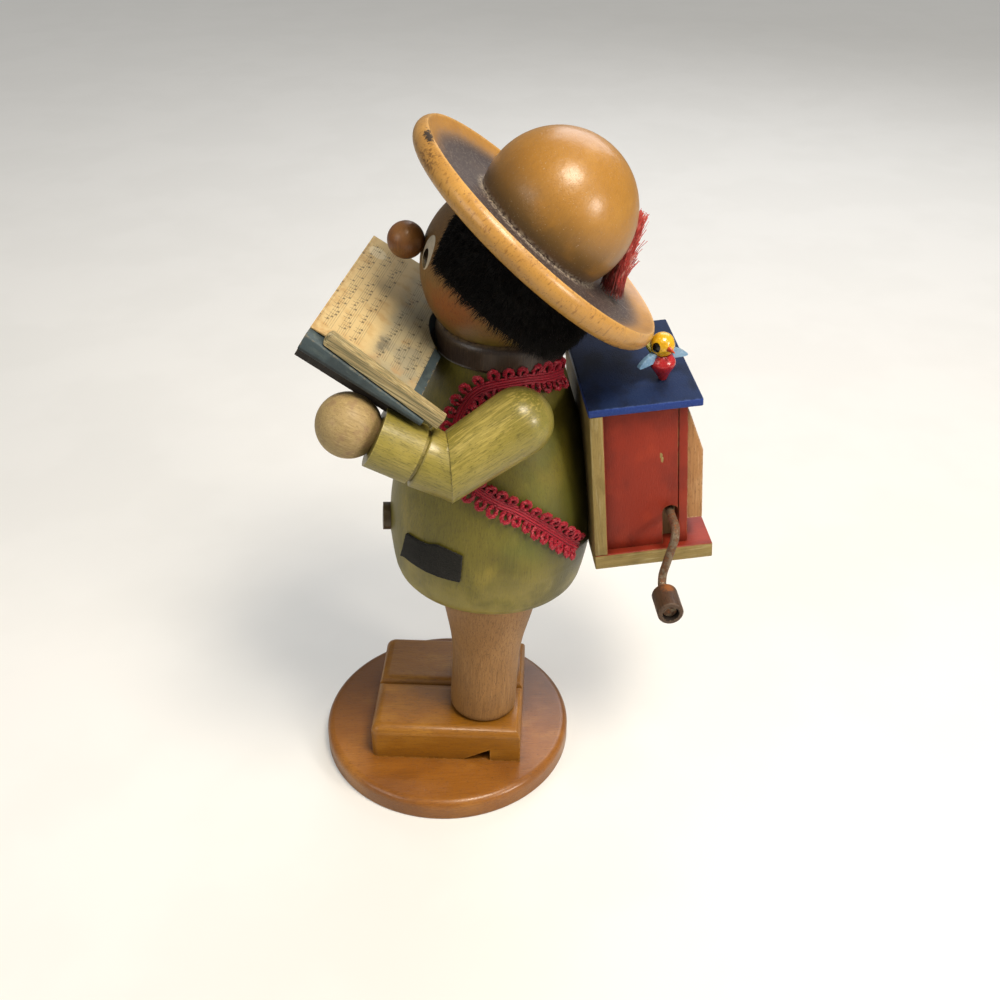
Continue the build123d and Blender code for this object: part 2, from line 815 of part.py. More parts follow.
# Pipe front: a fluted board whose pipes are cut to a long slant at the top
pipe_back = side_deep + front_gap + front_t
pipe_pitch = 2 * pipe_front_half_w / pipe_count
with BuildPart() as organ_pipes:
    with BuildSketch(across(organ, -pipe_front_half_w)):
        with BuildLine():
            Polyline(
                (pipe_back, pipe_foot),
                (pipe_back + pipe_front_t, pipe_foot),
                (pipe_back + pipe_front_t, pipe_shoulder),
                (pipe_back + pipe_tip_t, pipe_tip),
                (pipe_back, pipe_tip),
                close=True,
            )
        make_face()
    extrude(amount=2 * pipe_front_half_w)
    with BuildSketch(organ.offset(pipe_foot - cut_over)):
        for index in range(1, pipe_count):
            with Locations((index * pipe_pitch - pipe_front_half_w, pipe_back + pipe_front_t)):
                Circle(pipe_groove_r)
    extrude(amount=pipe_tip - pipe_foot + 2 * cut_over, mode=Mode.SUBTRACT)
save(organ_pipes.part, "organ_pipes")

with BuildPart() as organ_roof:
    with BuildSketch(organ.offset(box_top)):
        with Locations((0, (roof_deep - roof_over) / 2)):
            Rectangle(2 * organ_half_w, roof_deep + roof_over)
    extrude(amount=roof_t)
    fillet(organ_roof.edges().filter_by(Axis(organ.origin, organ.x_dir)), board_edge_round)
save(organ_roof.part, "organ_roof")

# Crank: bent wire through a bearing block, its ends upset into heads, with a loose sleeve
crank_axis_frame = Plane(
    organ.from_local_coords((0, crank_out, crank_up)), x_dir=organ.y_dir, z_dir=organ.x_dir
)
with BuildPart() as crank_bearing:
    with BuildSketch(organ.offset(base_board_t)):
        with Locations((bearing_x + bearing_w / 2, side_deep - bearing_deep / 2)):
            Rectangle(bearing_w, bearing_deep)
    extrude(amount=bearing_h)
    with BuildSketch(crank_axis_frame):
        Circle(wire_r + running_gap)
    extrude(amount=organ_half_w, mode=Mode.SUBTRACT)
save(crank_bearing.part, "crank_bearing")

axis_point = organ.from_local_coords((0, crank_out, crank_up))
hand_point = axis_point + Vector(0, crank_arm_back, -crank_arm_drop)
sleeve_x = crank_arm_x + sleeve_from_arm
wire_head_x = sleeve_x + sleeve_l - sleeve_mouth_l + running_gap
crank_route = (
    axis_point + Vector(bearing_x - running_gap, 0, 0),
    axis_point + Vector(crank_arm_x, 0, 0),
    hand_point + Vector(crank_arm_x, 0, 0),
    hand_point + Vector(wire_head_x, 0, 0),
)
with BuildPart() as crank_wire:
    with BuildLine():
        FilletPolyline(*crank_route, radius=crank_bend_r)
    with BuildSketch(Plane(crank_route[0], z_dir=(1, 0, 0))):
        Circle(wire_r)
    sweep()
    with BuildSketch(Plane(crank_route[0], z_dir=(-1, 0, 0))):
        Circle(wire_head_r)
    extrude(amount=wire_head_t)
    with BuildSketch(Plane(crank_route[-1], z_dir=(1, 0, 0))):
        Circle(wire_head_r)
    extrude(amount=wire_head_t)
save(crank_wire.part, "crank_wire")

sleeve_frame = Plane(hand_point + Vector(sleeve_x, 0, 0), x_dir=(0, 1, 0), z_dir=(1, 0, 0))
with BuildPart() as crank_sleeve:
    with BuildSketch(sleeve_frame):
        Circle(sleeve_r)
    extrude(amount=sleeve_l)
    fillet(crank_sleeve.edges().filter_by(GeomType.CIRCLE), sleeve_round)
    with BuildSketch(sleeve_frame):
        Circle(wire_r + running_gap)
    extrude(amount=sleeve_l, mode=Mode.SUBTRACT)
    with BuildSketch(sleeve_frame):
        Circle(sleeve_mouth_r)
    extrude(amount=sleeve_inner_mouth_l, mode=Mode.SUBTRACT)
    with BuildSketch(sleeve_frame.offset(sleeve_l - sleeve_mouth_l)):
        Circle(sleeve_mouth_r)
    extrude(amount=sleeve_mouth_l, mode=Mode.SUBTRACT)
save(crank_sleeve.part, "crank_sleeve")

# Bird: turned body and head, with glued beak, wings and tail
bird_foot = Pos(bird_x, bird_out, box_top + roof_t + glue_gap)
bird_frame = Plane(organ.location * bird_foot * Rot(0, 0, bird_turn))
with BuildPart() as bird_body:
    with BuildSketch(side_of(bird_frame)):
        with BuildLine():
            neck_point = (bird_foot_r, bird_body_h)
            Spline(
                (bird_foot_r, 0),
                (bird_body_r, bird_body_h * bird_belly_share),
                neck_point,
                tangents=[(bird_foot_flare, 1), (-bird_neck_draw, 1)],
            )
            Polyline(neck_point, (0, bird_body_h), (0, 0), (bird_foot_r, 0))
        make_face()
    revolve(axis=Axis(bird_frame.origin, bird_frame.z_dir))
    with Locations(bird_frame.offset(bird_head_h).location):
        Sphere(bird_head_r + glue_gap, mode=Mode.SUBTRACT)
save(bird_body.part, "bird_body")

with BuildPart() as bird_head:
    with Locations(bird_frame.offset(bird_head_h).location):
        Sphere(bird_head_r)
save(bird_head.part, "bird_head")

beak_frame = Plane(bird_frame.from_local_coords((0, 0, bird_head_h)), z_dir=bird_frame.x_dir)
with BuildPart() as bird_beak:
    with BuildSketch(beak_frame.offset(bird_head_r - beak_r)):
        Circle(beak_r)
    extrude(amount=beak_l + beak_r, taper=beak_taper)
    with Locations(bird_frame.offset(bird_head_h).location):
        Sphere(bird_head_r + glue_gap, mode=Mode.SUBTRACT)
save(bird_beak.part, "bird_beak")

with BuildPart() as bird_wings:
    for side in (1, -1):
        with BuildSketch(across(bird_frame, -wing_t / 2)):
            with BuildLine():
                Spline(
                    (0, wing_root_h + wing_w / 2),
                    (side * wing_span * wing_top_share, wing_root_h + wing_w * wing_top_rise_share),
                    (side * wing_span, wing_tip_h - wing_w / 2),
                    (side * wing_span * wing_low_share, wing_root_h - wing_w / 2),
                    (0, wing_root_h - wing_w / 2),
                )
                Line((0, wing_root_h - wing_w / 2), (0, wing_root_h + wing_w / 2))
            make_face()
        extrude(amount=wing_t)
    add(bird_body.part, mode=Mode.SUBTRACT)
    add(bird_head.part, mode=Mode.SUBTRACT)
save(bird_wings.part, "bird_wings")

tail_frame = Plane(bird_frame.location * Pos(0, 0, tail_root_h) * Rot(0, 0, 180) * Rot(0, -tail_rise, 0))
with BuildPart() as bird_tail:
    with BuildSketch(tail_frame.offset(-tail_t / 2)):
        with BuildLine():
            Polyline(
                (0, -tail_w / 4),
                (bird_body_r + tail_l, -tail_w / 2),
                (bird_body_r + tail_l, tail_w / 2),
                (0, tail_w / 4),
                close=True,
            )
        make_face()
    extrude(amount=tail_t)
    add(bird_body.part, mode=Mode.SUBTRACT)
save(bird_tail.part, "bird_tail")
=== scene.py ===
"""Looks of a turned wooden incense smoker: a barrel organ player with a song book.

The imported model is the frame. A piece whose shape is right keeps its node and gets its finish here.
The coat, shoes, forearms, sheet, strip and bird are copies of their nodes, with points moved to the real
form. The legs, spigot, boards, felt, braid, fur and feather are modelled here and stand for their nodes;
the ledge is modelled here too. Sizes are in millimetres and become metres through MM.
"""

import json
import logging
import math
import random
from collections.abc import Callable
from dataclasses import dataclass
from enum import Enum

import bpy
from mathutils import Matrix, Vector, noise
from mathutils.bvhtree import BVHTree

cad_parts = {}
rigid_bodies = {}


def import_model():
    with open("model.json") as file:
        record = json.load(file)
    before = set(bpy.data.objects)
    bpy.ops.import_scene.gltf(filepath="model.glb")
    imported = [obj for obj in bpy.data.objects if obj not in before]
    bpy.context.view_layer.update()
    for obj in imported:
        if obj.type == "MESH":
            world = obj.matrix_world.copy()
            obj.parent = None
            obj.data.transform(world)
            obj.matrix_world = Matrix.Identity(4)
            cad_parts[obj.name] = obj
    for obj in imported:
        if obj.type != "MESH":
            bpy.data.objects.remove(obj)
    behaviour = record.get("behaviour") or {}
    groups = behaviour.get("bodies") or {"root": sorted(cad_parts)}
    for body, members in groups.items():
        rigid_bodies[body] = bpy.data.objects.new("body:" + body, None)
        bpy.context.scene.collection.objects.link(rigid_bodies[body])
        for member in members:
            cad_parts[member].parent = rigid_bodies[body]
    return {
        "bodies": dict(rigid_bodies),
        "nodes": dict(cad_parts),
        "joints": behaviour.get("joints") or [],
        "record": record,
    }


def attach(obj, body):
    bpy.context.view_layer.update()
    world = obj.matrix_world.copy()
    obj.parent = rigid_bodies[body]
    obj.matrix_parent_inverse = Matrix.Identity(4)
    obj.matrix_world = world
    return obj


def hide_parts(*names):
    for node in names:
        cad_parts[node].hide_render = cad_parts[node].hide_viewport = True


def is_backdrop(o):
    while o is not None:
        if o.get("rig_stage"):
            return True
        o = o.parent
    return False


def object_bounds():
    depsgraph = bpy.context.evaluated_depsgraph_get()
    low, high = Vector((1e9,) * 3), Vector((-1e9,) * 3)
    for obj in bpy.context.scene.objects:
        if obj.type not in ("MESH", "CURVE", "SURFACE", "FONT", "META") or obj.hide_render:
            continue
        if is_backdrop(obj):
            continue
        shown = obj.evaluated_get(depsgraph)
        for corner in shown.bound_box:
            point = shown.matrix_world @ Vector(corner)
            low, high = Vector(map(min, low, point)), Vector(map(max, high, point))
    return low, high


MM = 0.001
NOISE_SEED = 7
LOG = logging.getLogger("incense_smoker")

Pair = tuple[float, float]
Triple = tuple[float, float, float]
Face = tuple[int, ...]
Piece = bpy.types.Object
Material = bpy.types.Material
Nodes = dict[str, Piece]
Socket = bpy.types.NodeSocket
Mover = Callable[[Vector], Vector]


class Measure(Enum):
    """What a ramp of a surface runs along: an axis of the piece's frame, or the distance from its z."""

    X = 0
    Y = 1
    Z = 2
    RADIUS = 3


class Side(Enum):
    """The figure's own left and right, as the sign of x."""

    LEFT = 1
    RIGHT = -1

    def named(self, piece: str) -> str:
        """The name of a piece on this side."""
        return f"{self.name.lower()}_{piece}"


def frame_matrix(origin: Vector, x_dir: Vector, z_dir: Vector) -> Matrix:
    """Makes a frame.

    Args:
        origin: Its place in millimetres.
        x_dir: Its x direction.
        z_dir: Its z direction, square to x.

    Returns:
        The frame's matrix, in metres.
    """
    z_axis = z_dir.normalized()
    x_axis = x_dir.normalized()
    matrix = Matrix((x_axis, z_axis.cross(x_axis), z_axis)).transposed().to_4x4()
    matrix.translation = origin * MM
    return matrix


@dataclass(frozen=True)
class Frames:
    """The frames that the source builds its pieces in."""

    figure_back: float = 11.3
    figure_foot: float = 19.5
    lean: float = 3.0
    feet_turn: float = 8.0
    neck_up: float = 123.0
    head_up: float = 146.0
    hat_tilt: float = 42.0
    organ_back: float = 28.3
    organ_up: float = 64.3
    organ_tip: float = 7.5
    book_ahead: float = 29.5
    book_up: float = 133.7
    book_turn: float = 14.9
    book_slope: float = 32.1
    book_roll: float = 2.6

    def leaning(self, origin: Vector, degrees: float) -> Matrix:
        """A frame whose z leans back from the vertical."""
        lean = math.radians(degrees)
        return frame_matrix(origin, Vector((1, 0, 0)), Vector((0, math.sin(lean), math.cos(lean))))

    def figure(self) -> Matrix:
        """The figure's frame, on top of the shoes."""
        return self.leaning(Vector((0, self.figure_back, self.figure_foot)), self.lean)

    def feet(self) -> Matrix:
        """The figure's frame, turned as the shoes are."""
        return self.figure() @ Matrix.Rotation(math.radians(-self.feet_turn), 4, "Z")

    def at(self, x: float, y: float, z: float) -> Vector:
        """World place in millimetres of a point of the figure's frame."""
        return (self.figure() @ Vector((x * MM, y * MM, z * MM))) / MM

    def head(self) -> Matrix:
        """The head's frame, at the middle of its ball."""
        return self.leaning(self.at(0, 0, self.head_up), self.lean)

    def hat(self) -> Matrix:
        """The hat's frame, at the middle of the head with z up the crown."""
        return self.leaning(self.at(0, 0, self.head_up), self.hat_tilt)

    def organ(self) -> Matrix:
        """The organ's frame, at the foot of its back board with y out from the coat."""
        return self.leaning(self.at(0, self.organ_back, self.organ_up), self.lean - self.organ_tip)

    def shoes(self) -> Matrix:
        """The shoes' frame, turned on the disc."""
        turned = Matrix.Rotation(math.radians(-self.feet_turn), 4, "Z")
        return Matrix.Translation(Vector((0, self.figure_back, 0)) * MM) @ turned

    def book(self) -> Matrix:
        """The song book's frame, at the middle of the sheet with z square to it."""
        place = Matrix.Translation(self.at(0, -self.book_ahead, self.book_up) * MM)
        turn = Matrix.Rotation(math.radians(-self.book_turn), 4, "Z")
        slope = Matrix.Rotation(math.radians(-self.book_slope), 4, "X")
        roll = Matrix.Rotation(math.radians(self.book_roll), 4, "Y")
        return place @ turn @ slope @ roll


FRAMES = Frames()


def linear(code: str) -> tuple[float, float, float, float]:
    """Turns an sRGB hex colour to the linear RGBA that a socket holds.

    Args:
        code: The colour as sRGB hex.

    Returns:
        The colour as a socket holds it.
    """
    channels = [int(code[i:i + 2], 16) / 255 for i in (1, 3, 5)]
    red, green, blue = [c / 12.92 if c <= 0.04045 else ((c + 0.055) / 1.055) ** 2.4 for c in channels]
    return red, green, blue, 1.0


def add_node(
    tree: bpy.types.NodeTree, kind: str, settings: dict | None = None, inputs: dict | None = None
) -> bpy.types.Node:
    """Adds a shader node.

    Args:
        tree: The tree that it goes into.
        kind: Its type without the ShaderNode prefix.
        settings: Its properties.
        inputs: Its inputs by name or index, each a value or an output to link.

    Returns:
        The node.
    """
    node = tree.nodes.new("ShaderNode" + kind)
    for name, value in (settings or {}).items():
        setattr(node, name, value)
    for key, value in (inputs or {}).items():
        if isinstance(value, Socket):
            tree.links.new(value, node.inputs[key])
        else:
            node.inputs[key].default_value = value
    return node


class Surface:
    """A material while it is being laid up: a colour, a height and a roughness that layers change.

    Its coordinates are millimetres in the frame of the piece that it covers.
    """

    def __init__(self, name: str, frame: Matrix, colour: str, roughness: float) -> None:
        """Starts a material.

        Args:
            name: The material's name.
            frame: The frame that its patterns are measured in.
            colour: Its ground colour, as sRGB hex.
            roughness: Its ground roughness.
        """
        self.material = bpy.data.materials.new(name)
        self.material.use_nodes = True
        self.tree = self.material.node_tree
        self.tree.nodes.clear()
        place = self.add("TexCoord")
        settled = {
            "Vector": place.outputs["Object"],
            "Location": frame.translation,
            "Rotation": frame.to_euler(),
            "Scale": (MM, MM, MM),
        }
        self.local = self.add("Mapping", {"vector_type": "TEXTURE"}, settled).outputs[0]
        self.colour: Socket | tuple = linear(colour)
        self.roughness: Socket | float = roughness
        self.height: Socket | None = None

    def add(self, kind: str, settings: dict | None = None, inputs: dict | None = None) -> bpy.types.Node:
        """Adds a node to the material, as add_node does."""
        return add_node(self.tree, kind, settings, inputs)

    def fade(self, value: Socket, start: float, full: float, course: str = "SMOOTHSTEP") -> Socket:
        """A mask that is 0 where a value is start and 1 where it is full.

        Args:
            value: The value.
            start: What gives 0.
            full: What gives 1.
            course: How it rises in between, as the Map Range node names it.

        Returns:
            The mask.
        """
        spread = {"Value": value, "From Min": start, "From Max": full}
        return self.add("MapRange", {"interpolation_type": course}, spread).outputs[0]

    def pattern(
        self, size: Triple | float, low: float = 0.4, high: float = 0.6, seed: float = 0.0,
        detail: float = 3.0,
    ) -> Socket:
        """A random pattern of a real size.

        Args:
            size: How far its features reach, as one length or along x, y and z.
            low: The noise level that gives 0.
            high: The noise level that gives 1.
            seed: Shifts it to another part of the noise.
            detail: How many finer layers it has.

        Returns:
            A mask from 0 to 1.
        """
        reach = size if isinstance(size, tuple) else (size, size, size)
        scale = tuple(1 / length for length in reach)
        place = {"Vector": self.local, "Location": (seed, seed, seed), "Scale": scale}
        moved = self.add("Mapping", None, place)
        wild = self.add("TexNoise", None, {"Vector": moved.outputs[0], "Scale": 1.0, "Detail": detail})
        return self.fade(wild.outputs[0], low, high)

    def ramp(self, measure: Measure, start: float, full: float) -> Socket:
        """A mask that goes from 0 at start to 1 at full along a measure of the frame.

        Args:
            measure: What it runs along.
            start: Where it is 0, in millimetres.
            full: Where it is 1.

        Returns:
            The mask.
        """
        if measure is Measure.RADIUS:
            flat = self.add("VectorMath", {"operation": "MULTIPLY"}, {0: self.local, 1: (1, 1, 0)})
            value = self.add("VectorMath", {"operation": "LENGTH"}, {0: flat.outputs[0]}).outputs[1]
        else:
            value = self.add("SeparateXYZ", None, {0: self.local}).outputs[measure.value]
        return self.fade(value, start, full)

    def spot(
        self, centre: Triple, reach: Triple, soft: float = 0.5, ragged: float = 0.0, grit: float = 0.6,
        mirrored: bool = False,
    ) -> Socket:
        """A mask that is 1 inside an egg shape round a point.

        Args:
            centre: Its middle in the piece's frame.
            reach: Its half lengths along x, y and z.
            soft: The share of its reach over which it fades.
            ragged: How far a random pattern breaks its edge, as a share of its reach.
            grit: The size of that pattern.
            mirrored: Whether it is also on the other side of x.

        Returns:
            The mask.
        """
        place = self.local
        if mirrored:
            axes = self.add("SeparateXYZ", None, {0: place})
            width = self.add("Math", {"operation": "ABSOLUTE"}, {0: axes.outputs[0]}).outputs[0]
            folded = {0: width, 1: axes.outputs[1], 2: axes.outputs[2]}
            place = self.add("CombineXYZ", None, folded).outputs[0]
        about = {"Vector": place, "Location": centre, "Scale": reach}
        moved = self.add("Mapping", {"vector_type": "TEXTURE"}, about)
        value = self.add("VectorMath", {"operation": "LENGTH"}, {0: moved.outputs[0]}).outputs[1]
        if ragged:
            broken = self.pattern(grit, 0.0, 1.0, seed=centre[0] + 3)
            value = self.add(
                "Math", {"operation": "MULTIPLY_ADD"}, {0: broken, 1: 2 * ragged, 2: value}
            ).outputs[0]
        return self.fade(value, 1 + ragged, 1 + ragged - soft)

    def facing(self, direction: Vector, start: float = 0.3, full: float = 0.8) -> Socket:
        """A mask of the faces that look along a world direction.

        Args:
            direction: The direction.
            start: The cosine that gives 0.
            full: The cosine that gives 1.

        Returns:
            The mask.
        """
        normal = self.add("NewGeometry").outputs["Normal"]
        turned = self.add("VectorMath", {"operation": "DOT_PRODUCT"}, {0: normal, 1: direction.normalized()})
        return self.fade(turned.outputs[1], start, full)

    def nooks(self, reach: float, start: float = 0.9, full: float = 0.45) -> Socket:
        """A mask of the places that something stands close to, where painted shade is laid.

        Args:
            reach: How close, in millimetres.
            start: The openness that gives 0.
            full: The openness that gives 1.

        Returns:
            The mask.
        """
        shade = self.add("AmbientOcclusion", {"samples": 4}, {"Distance": reach * MM})
        return self.fade(shade.outputs["AO"], start, full, "LINEAR")

    def edges(self, width: float, start: float = 0.004, full: float = 0.06) -> Socket:
        """A mask of the outer and inner edges, where paint and stain wear off and where painted highlights
        are laid.

        Args:
            width: Its width in millimetres.
            start: The turn of the normal that gives 0.
            full: The turn that gives 1.

        Returns:
            The mask.
        """
        rounded = self.add("Bevel", {"samples": 4}, {"Radius": width * MM}).outputs[0]
        normal = self.add("NewGeometry").outputs["Normal"]
        turned = self.add("VectorMath", {"operation": "DOT_PRODUCT"}, {0: normal, 1: rounded}).outputs[1]
        return self.fade(turned, 1 - start, 1 - full, "LINEAR")

    def both(self, first: Socket, *others: Socket) -> Socket:
        """A mask of what lies in all of several masks."""
        for other in others:
            first = self.add("Math", {"operation": "MULTIPLY"}, {0: first, 1: other}).outputs[0]
        return first

    def outside(self, mask: Socket) -> Socket:
        """The opposite of a mask."""
        return self.add("Math", {"operation": "SUBTRACT"}, {0: 1.0, 1: mask}).outputs[0]

    def lay(self, colour: str, mask: Socket, strength: float = 1.0, roughness: float | None = None) -> None:
        """Lays a colour, and a roughness if it has its own, over the surface where a mask is.

        Args:
            colour: The colour as sRGB hex.
            mask: Where it lies.
            strength: How much it covers.
            roughness: Its own roughness, if it has one.
        """
        amount = self.add("Math", {"operation": "MULTIPLY"}, {0: mask, 1: strength}).outputs[0]
        mixed = {0: amount, 6: self.colour, 7: linear(colour)}
        self.colour = self.add("Mix", {"data_type": "RGBA"}, mixed).outputs[2]
        if roughness is not None:
            mixed = {0: amount, 2: self.roughness, 3: roughness}
            self.roughness = self.add("Mix", {"data_type": "FLOAT"}, mixed).outputs[0]

    def lift(self, mask: Socket, height: float) -> None:
        """Raises the surface by a height where a mask is, or sinks it where the height is negative."""
        inputs = {0: mask, 1: height, 2: 0.0 if self.height is None else self.height}
        self.height = self.add("Math", {"operation": "MULTIPLY_ADD"}, inputs).outputs[0]

    def close(self, **shader: object) -> Material:
        """Links the layers to the shader.

        Args:
            **shader: The shader's other inputs, with underscores for the spaces of their names.

        Returns:
            The material.
        """
        inputs = {"Base Color": self.colour, "Roughness": self.roughness}
        inputs.update({name.replace("_", " "): value for name, value in shader.items()})
        if self.height is not None:
            bump = self.add("Bump", None, {"Height": self.height, "Distance": MM, "Strength": 1.0})
            inputs["Normal"] = bump.outputs[0]
        body = self.add("BsdfPrincipled", None, inputs)
        self.add("OutputMaterial", None, {"Surface": body.outputs[0]})
        return self.material


@dataclass(frozen=True)
class Wood:
    """Stained and lacquered wood: beech or lime, turned or sawn, with its grain along the frame's z."""

    name: str
    ground: str
    dark: str
    light: str
    fleck: str
    roughness: float = 0.42
    lacquer: float = 0.25
    cloud: float = 0.55
    grain: float = 0.35
    flecks: float = 0.5
    streak: Triple = (0.5, 0.5, 9.0)
    tick: Triple = (0.22, 0.22, 1.3)
    nook_shade: str = "#1c140b"
    nook_shade_strength: float = 0.35
    lacquer_roughness: float = 0.22

    def lay_up(self, frame: Matrix) -> Surface:
        """Lays the stain, the grain and its short dark rays, and painted shade in the nooks."""
        wood = Surface(self.name, frame, self.ground, self.roughness)
        wood.lay(self.dark, wood.pattern((15, 15, 26), 0.45, 0.7), self.cloud)
        wood.lay(self.light, wood.pattern((11, 11, 20), 0.5, 0.72, seed=7), self.cloud)
        streaks = wood.pattern(self.streak, 0.48, 0.66, seed=3)
        wood.lay(self.dark, streaks, self.grain)
        wood.lay(self.light, wood.pattern(self.streak, 0.55, 0.75, seed=11), self.grain)
        rays = wood.pattern(self.tick, 0.56, 0.66, seed=5, detail=2)
        wood.lay(self.fleck, rays, self.flecks)
        wood.lay(self.light, wood.pattern((0.35, 0.35, 0.6), 0.58, 0.7, seed=9), 0.3 * self.flecks)
        # Painted shade: the wood is darkened where other parts stand close to it.
        wood.lay(self.nook_shade, wood.nooks(5.0), self.nook_shade_strength)
        wood.lift(streaks, -0.012)
        wood.lift(rays, -0.02)
        wood.lift(wood.pattern((2.5, 2.5, 5.0), 0.3, 0.7, seed=2), 0.03)
        return wood

    def varnish(self, wood: Surface) -> Material:
        """Closes the wood under its lacquer."""
        return wood.close(
            Coat_Weight=self.lacquer, Coat_Roughness=self.lacquer_roughness, Specular_IOR_Level=0.5
        )

    def made(self, frame: Matrix) -> Material:
        """The wood with nothing else on it."""
        return self.varnish(self.lay_up(frame))


# Olive water stain under satin lacquer on beech: yellow where it is thin, green where it pooled.
OLIVE_COAT = Wood(
    "olive_stained_turned_beech", "#70671b", "#49430e", "#958630", "#33300a", 0.44, 0.14, 0.6, 0.25, 0.4
)
# The same stain on a beech dowel, rubbed lighter by handling.
OLIVE_SLEEVE = Wood(
    "olive_stained_dowel", "#8f843a", "#5f5820", "#b6a557", "#454116", 0.38, 0.3, 0.5, 0.4, 0.5
)
# Orange spirit stain under gloss varnish on turned beech, with its short dark rays.
ORANGE_DISC = Wood(
    "orange_stained_beech_disc", "#99601f", "#704010", "#b97e33", "#50300f", 0.34, 0.3, 0.5, 0.3, 0.4
)
# Browner spirit stain on sawn beech, satin; the shoes get a painted highlight along their edges.
ORANGE_SHOE = Wood(
    "brown_stained_beech_block", "#95600f", "#6d4408", "#b57f2a", "#4b2e08", 0.42, 0.2, 0.45, 0.3, 0.4
)
# Bare turned beech, oiled by handling: pinkish tan with short dark rays.
BARE_LEG = Wood("bare_turned_beech", "#966d3c", "#6f4d26", "#b58a54", "#5c3d1e", 0.5, 0.08, 0.4, 0.45, 0.6)
# A bare beech ball: paler than the legs and greyed by fingers.
BARE_HAND = Wood("bare_beech_ball", "#ab9463", "#806a42", "#cdb588", "#6e5a38", 0.55, 0.05, 0.4, 0.4, 0.5)
# Bare lime, inside and never seen by daylight: pale and even.
BARE_INSIDE = Wood("bare_lime", "#bd9e6c", "#957647", "#d2b98a", "#84673e", 0.6, 0.0, 0.4, 0.4, 0.35)
# Golden stain under old yellowed gloss varnish on turned lime.
GOLDEN_HAT = Wood(
    "golden_varnished_lime", "#b4812f", "#8d5f22", "#cf9d4b", "#5f3f14", 0.36, 0.3, 0.5, 0.2, 0.25,
    streak=(1.2, 1.2, 6.0),
)
# Tan stain on a lime ball, nearly matt.
SKIN_HEAD = Wood("tan_stained_ball", "#7c5a2c", "#5b3f1b", "#99773f", "#412c10", 0.46, 0.12, 0.4, 0.3, 0.5)
# Brown varnish on a small turned ball, glossier than the head.
BROWN_NOSE = Wood("brown_varnished_ball", "#84501d", "#5a350f", "#aa6e2c", "#3f250b", 0.4, 0.2, 0.5, 0.3, 0.4)
# Dark brown varnish on a turned button.
BROWN_BUTTON = Wood("brown_varnished_button", "#4c3c1c", "#33270f", "#6c5a30", "#241b09", 0.42, 0.2)
# Near black brown paint on a turned ring, with long scratches down to the wood.
DARK_SCARF = Wood(
    "dark_painted_ring", "#33231a", "#1e140d", "#4b3726", "#7a6248", 0.4, 0.25, 0.5, 0.4, 0.12,
    tick=(0.12, 0.12, 6.0),
)
# A dowel browned by smoke and fingers.
DARK_SLEEVE = Wood("smoked_dowel", "#4d3828", "#2c1d12", "#6f543c", "#21150c", 0.55, 0.1, 0.5, 0.5, 0.5)
# Bare planed pine, fluted: warm, with pale worn edges.
FLUTED_PINE = Wood("fluted_pine_board", "#ad7d4c", "#855a32", "#d0a878", "#6f4828", 0.6, 0.0, 0.5, 0.5, 0.5)


@dataclass(frozen=True)
class Mottle:
    """Patches of another colour: their size, the noise levels of their edge, and how strong they are."""

    colour: str
    size: Triple | float
    low: float
    high: float
    strength: float
    seed: float = 0.0
    roughness: float | None = None


@dataclass(frozen=True)
class Relief:
    """Fine unevenness: its size, its height, and the noise levels of its foot and its top."""

    size: Triple | float
    height: float
    low: float = 0.3
    high: float = 0.7
    seed: float = 0.0


@dataclass(frozen=True)
class Finish:
    """A finish other than stained wood: a ground colour with patches and a fine relief."""

    name: str
    ground: str
    roughness: float
    mottles: tuple[Mottle, ...] = ()
    relief: Relief | None = None
    shine: float = 0.5
    metallic: float = 0.0
    sheen: float = 0.0
    sheen_roughness: float = 0.5
    coat: float = 0.0

    def lay_up(self, frame: Matrix) -> Surface:
        """Lays the ground, its patches and its relief."""
        surface = Surface(self.name, frame, self.ground, self.roughness)
        for patch in self.mottles:
            mask = surface.pattern(patch.size, patch.low, patch.high, patch.seed)
            surface.lay(patch.colour, mask, patch.strength, patch.roughness)
        if self.relief:
            rough = self.relief
            surface.lift(surface.pattern(rough.size, rough.low, rough.high, rough.seed), rough.height)
        return surface

    def closed(self, surface: Surface, **changes: object) -> Material:
        """Closes a surface with the finish's own shine.

        Args:
            surface: The surface, with all its layers.
            **changes: Inputs of the shader that this piece has otherwise.

        Returns:
            The material.
        """
        shader = {
            "Specular_IOR_Level": self.shine, "Metallic": self.metallic, "Sheen_Weight": self.sheen,
            "Sheen_Roughness": self.sheen_roughness, "Coat_Weight": self.coat,
        }
        return surface.close(**{**shader, **changes})

    def made(self, frame: Matrix) -> Material:
        """The finish with nothing else on it."""
        return self.closed(self.lay_up(frame))


# Pressed brass sheet, browned by heat and spotted with resin.
BRASS_PLATE = Finish(
    "heat_browned_brass_sheet", "#a98a45", 0.34,
    (Mottle("#5d4020", 3, 0.45, 0.65, 0.8, roughness=0.6),),
    Relief(1.5, 0.05), metallic=1.0,
)
# Blued steel with a rolled head: blue grey, rusting brown.
STEEL_TACK = Finish(
    "blued_steel_tack", "#6b6c70", 0.35,
    (Mottle("#3a2a1c", 0.5, 0.45, 0.6, 0.6, roughness=0.6),), metallic=1.0,
)
# Drawn steel wire gone brown, with a dull grey shine left between the patches of rust.
STEEL_WIRE = Finish("rusted_drawn_steel", "#8a7a66", 0.42, relief=Relief(0.5, 0.05))
# Pressed wool felt: charcoal, matt, with a nap of short fibres.
WOOL_FELT = Finish(
    "charcoal_wool_felt", "#1f1f1c", 0.95,
    (Mottle("#31312d", 0.25, 0.5, 0.68, 0.7), Mottle("#161616", 1.4, 0.45, 0.65, 0.5, seed=4)),
    Relief(0.3, 0.12), shine=0.2, sheen=0.1,
)
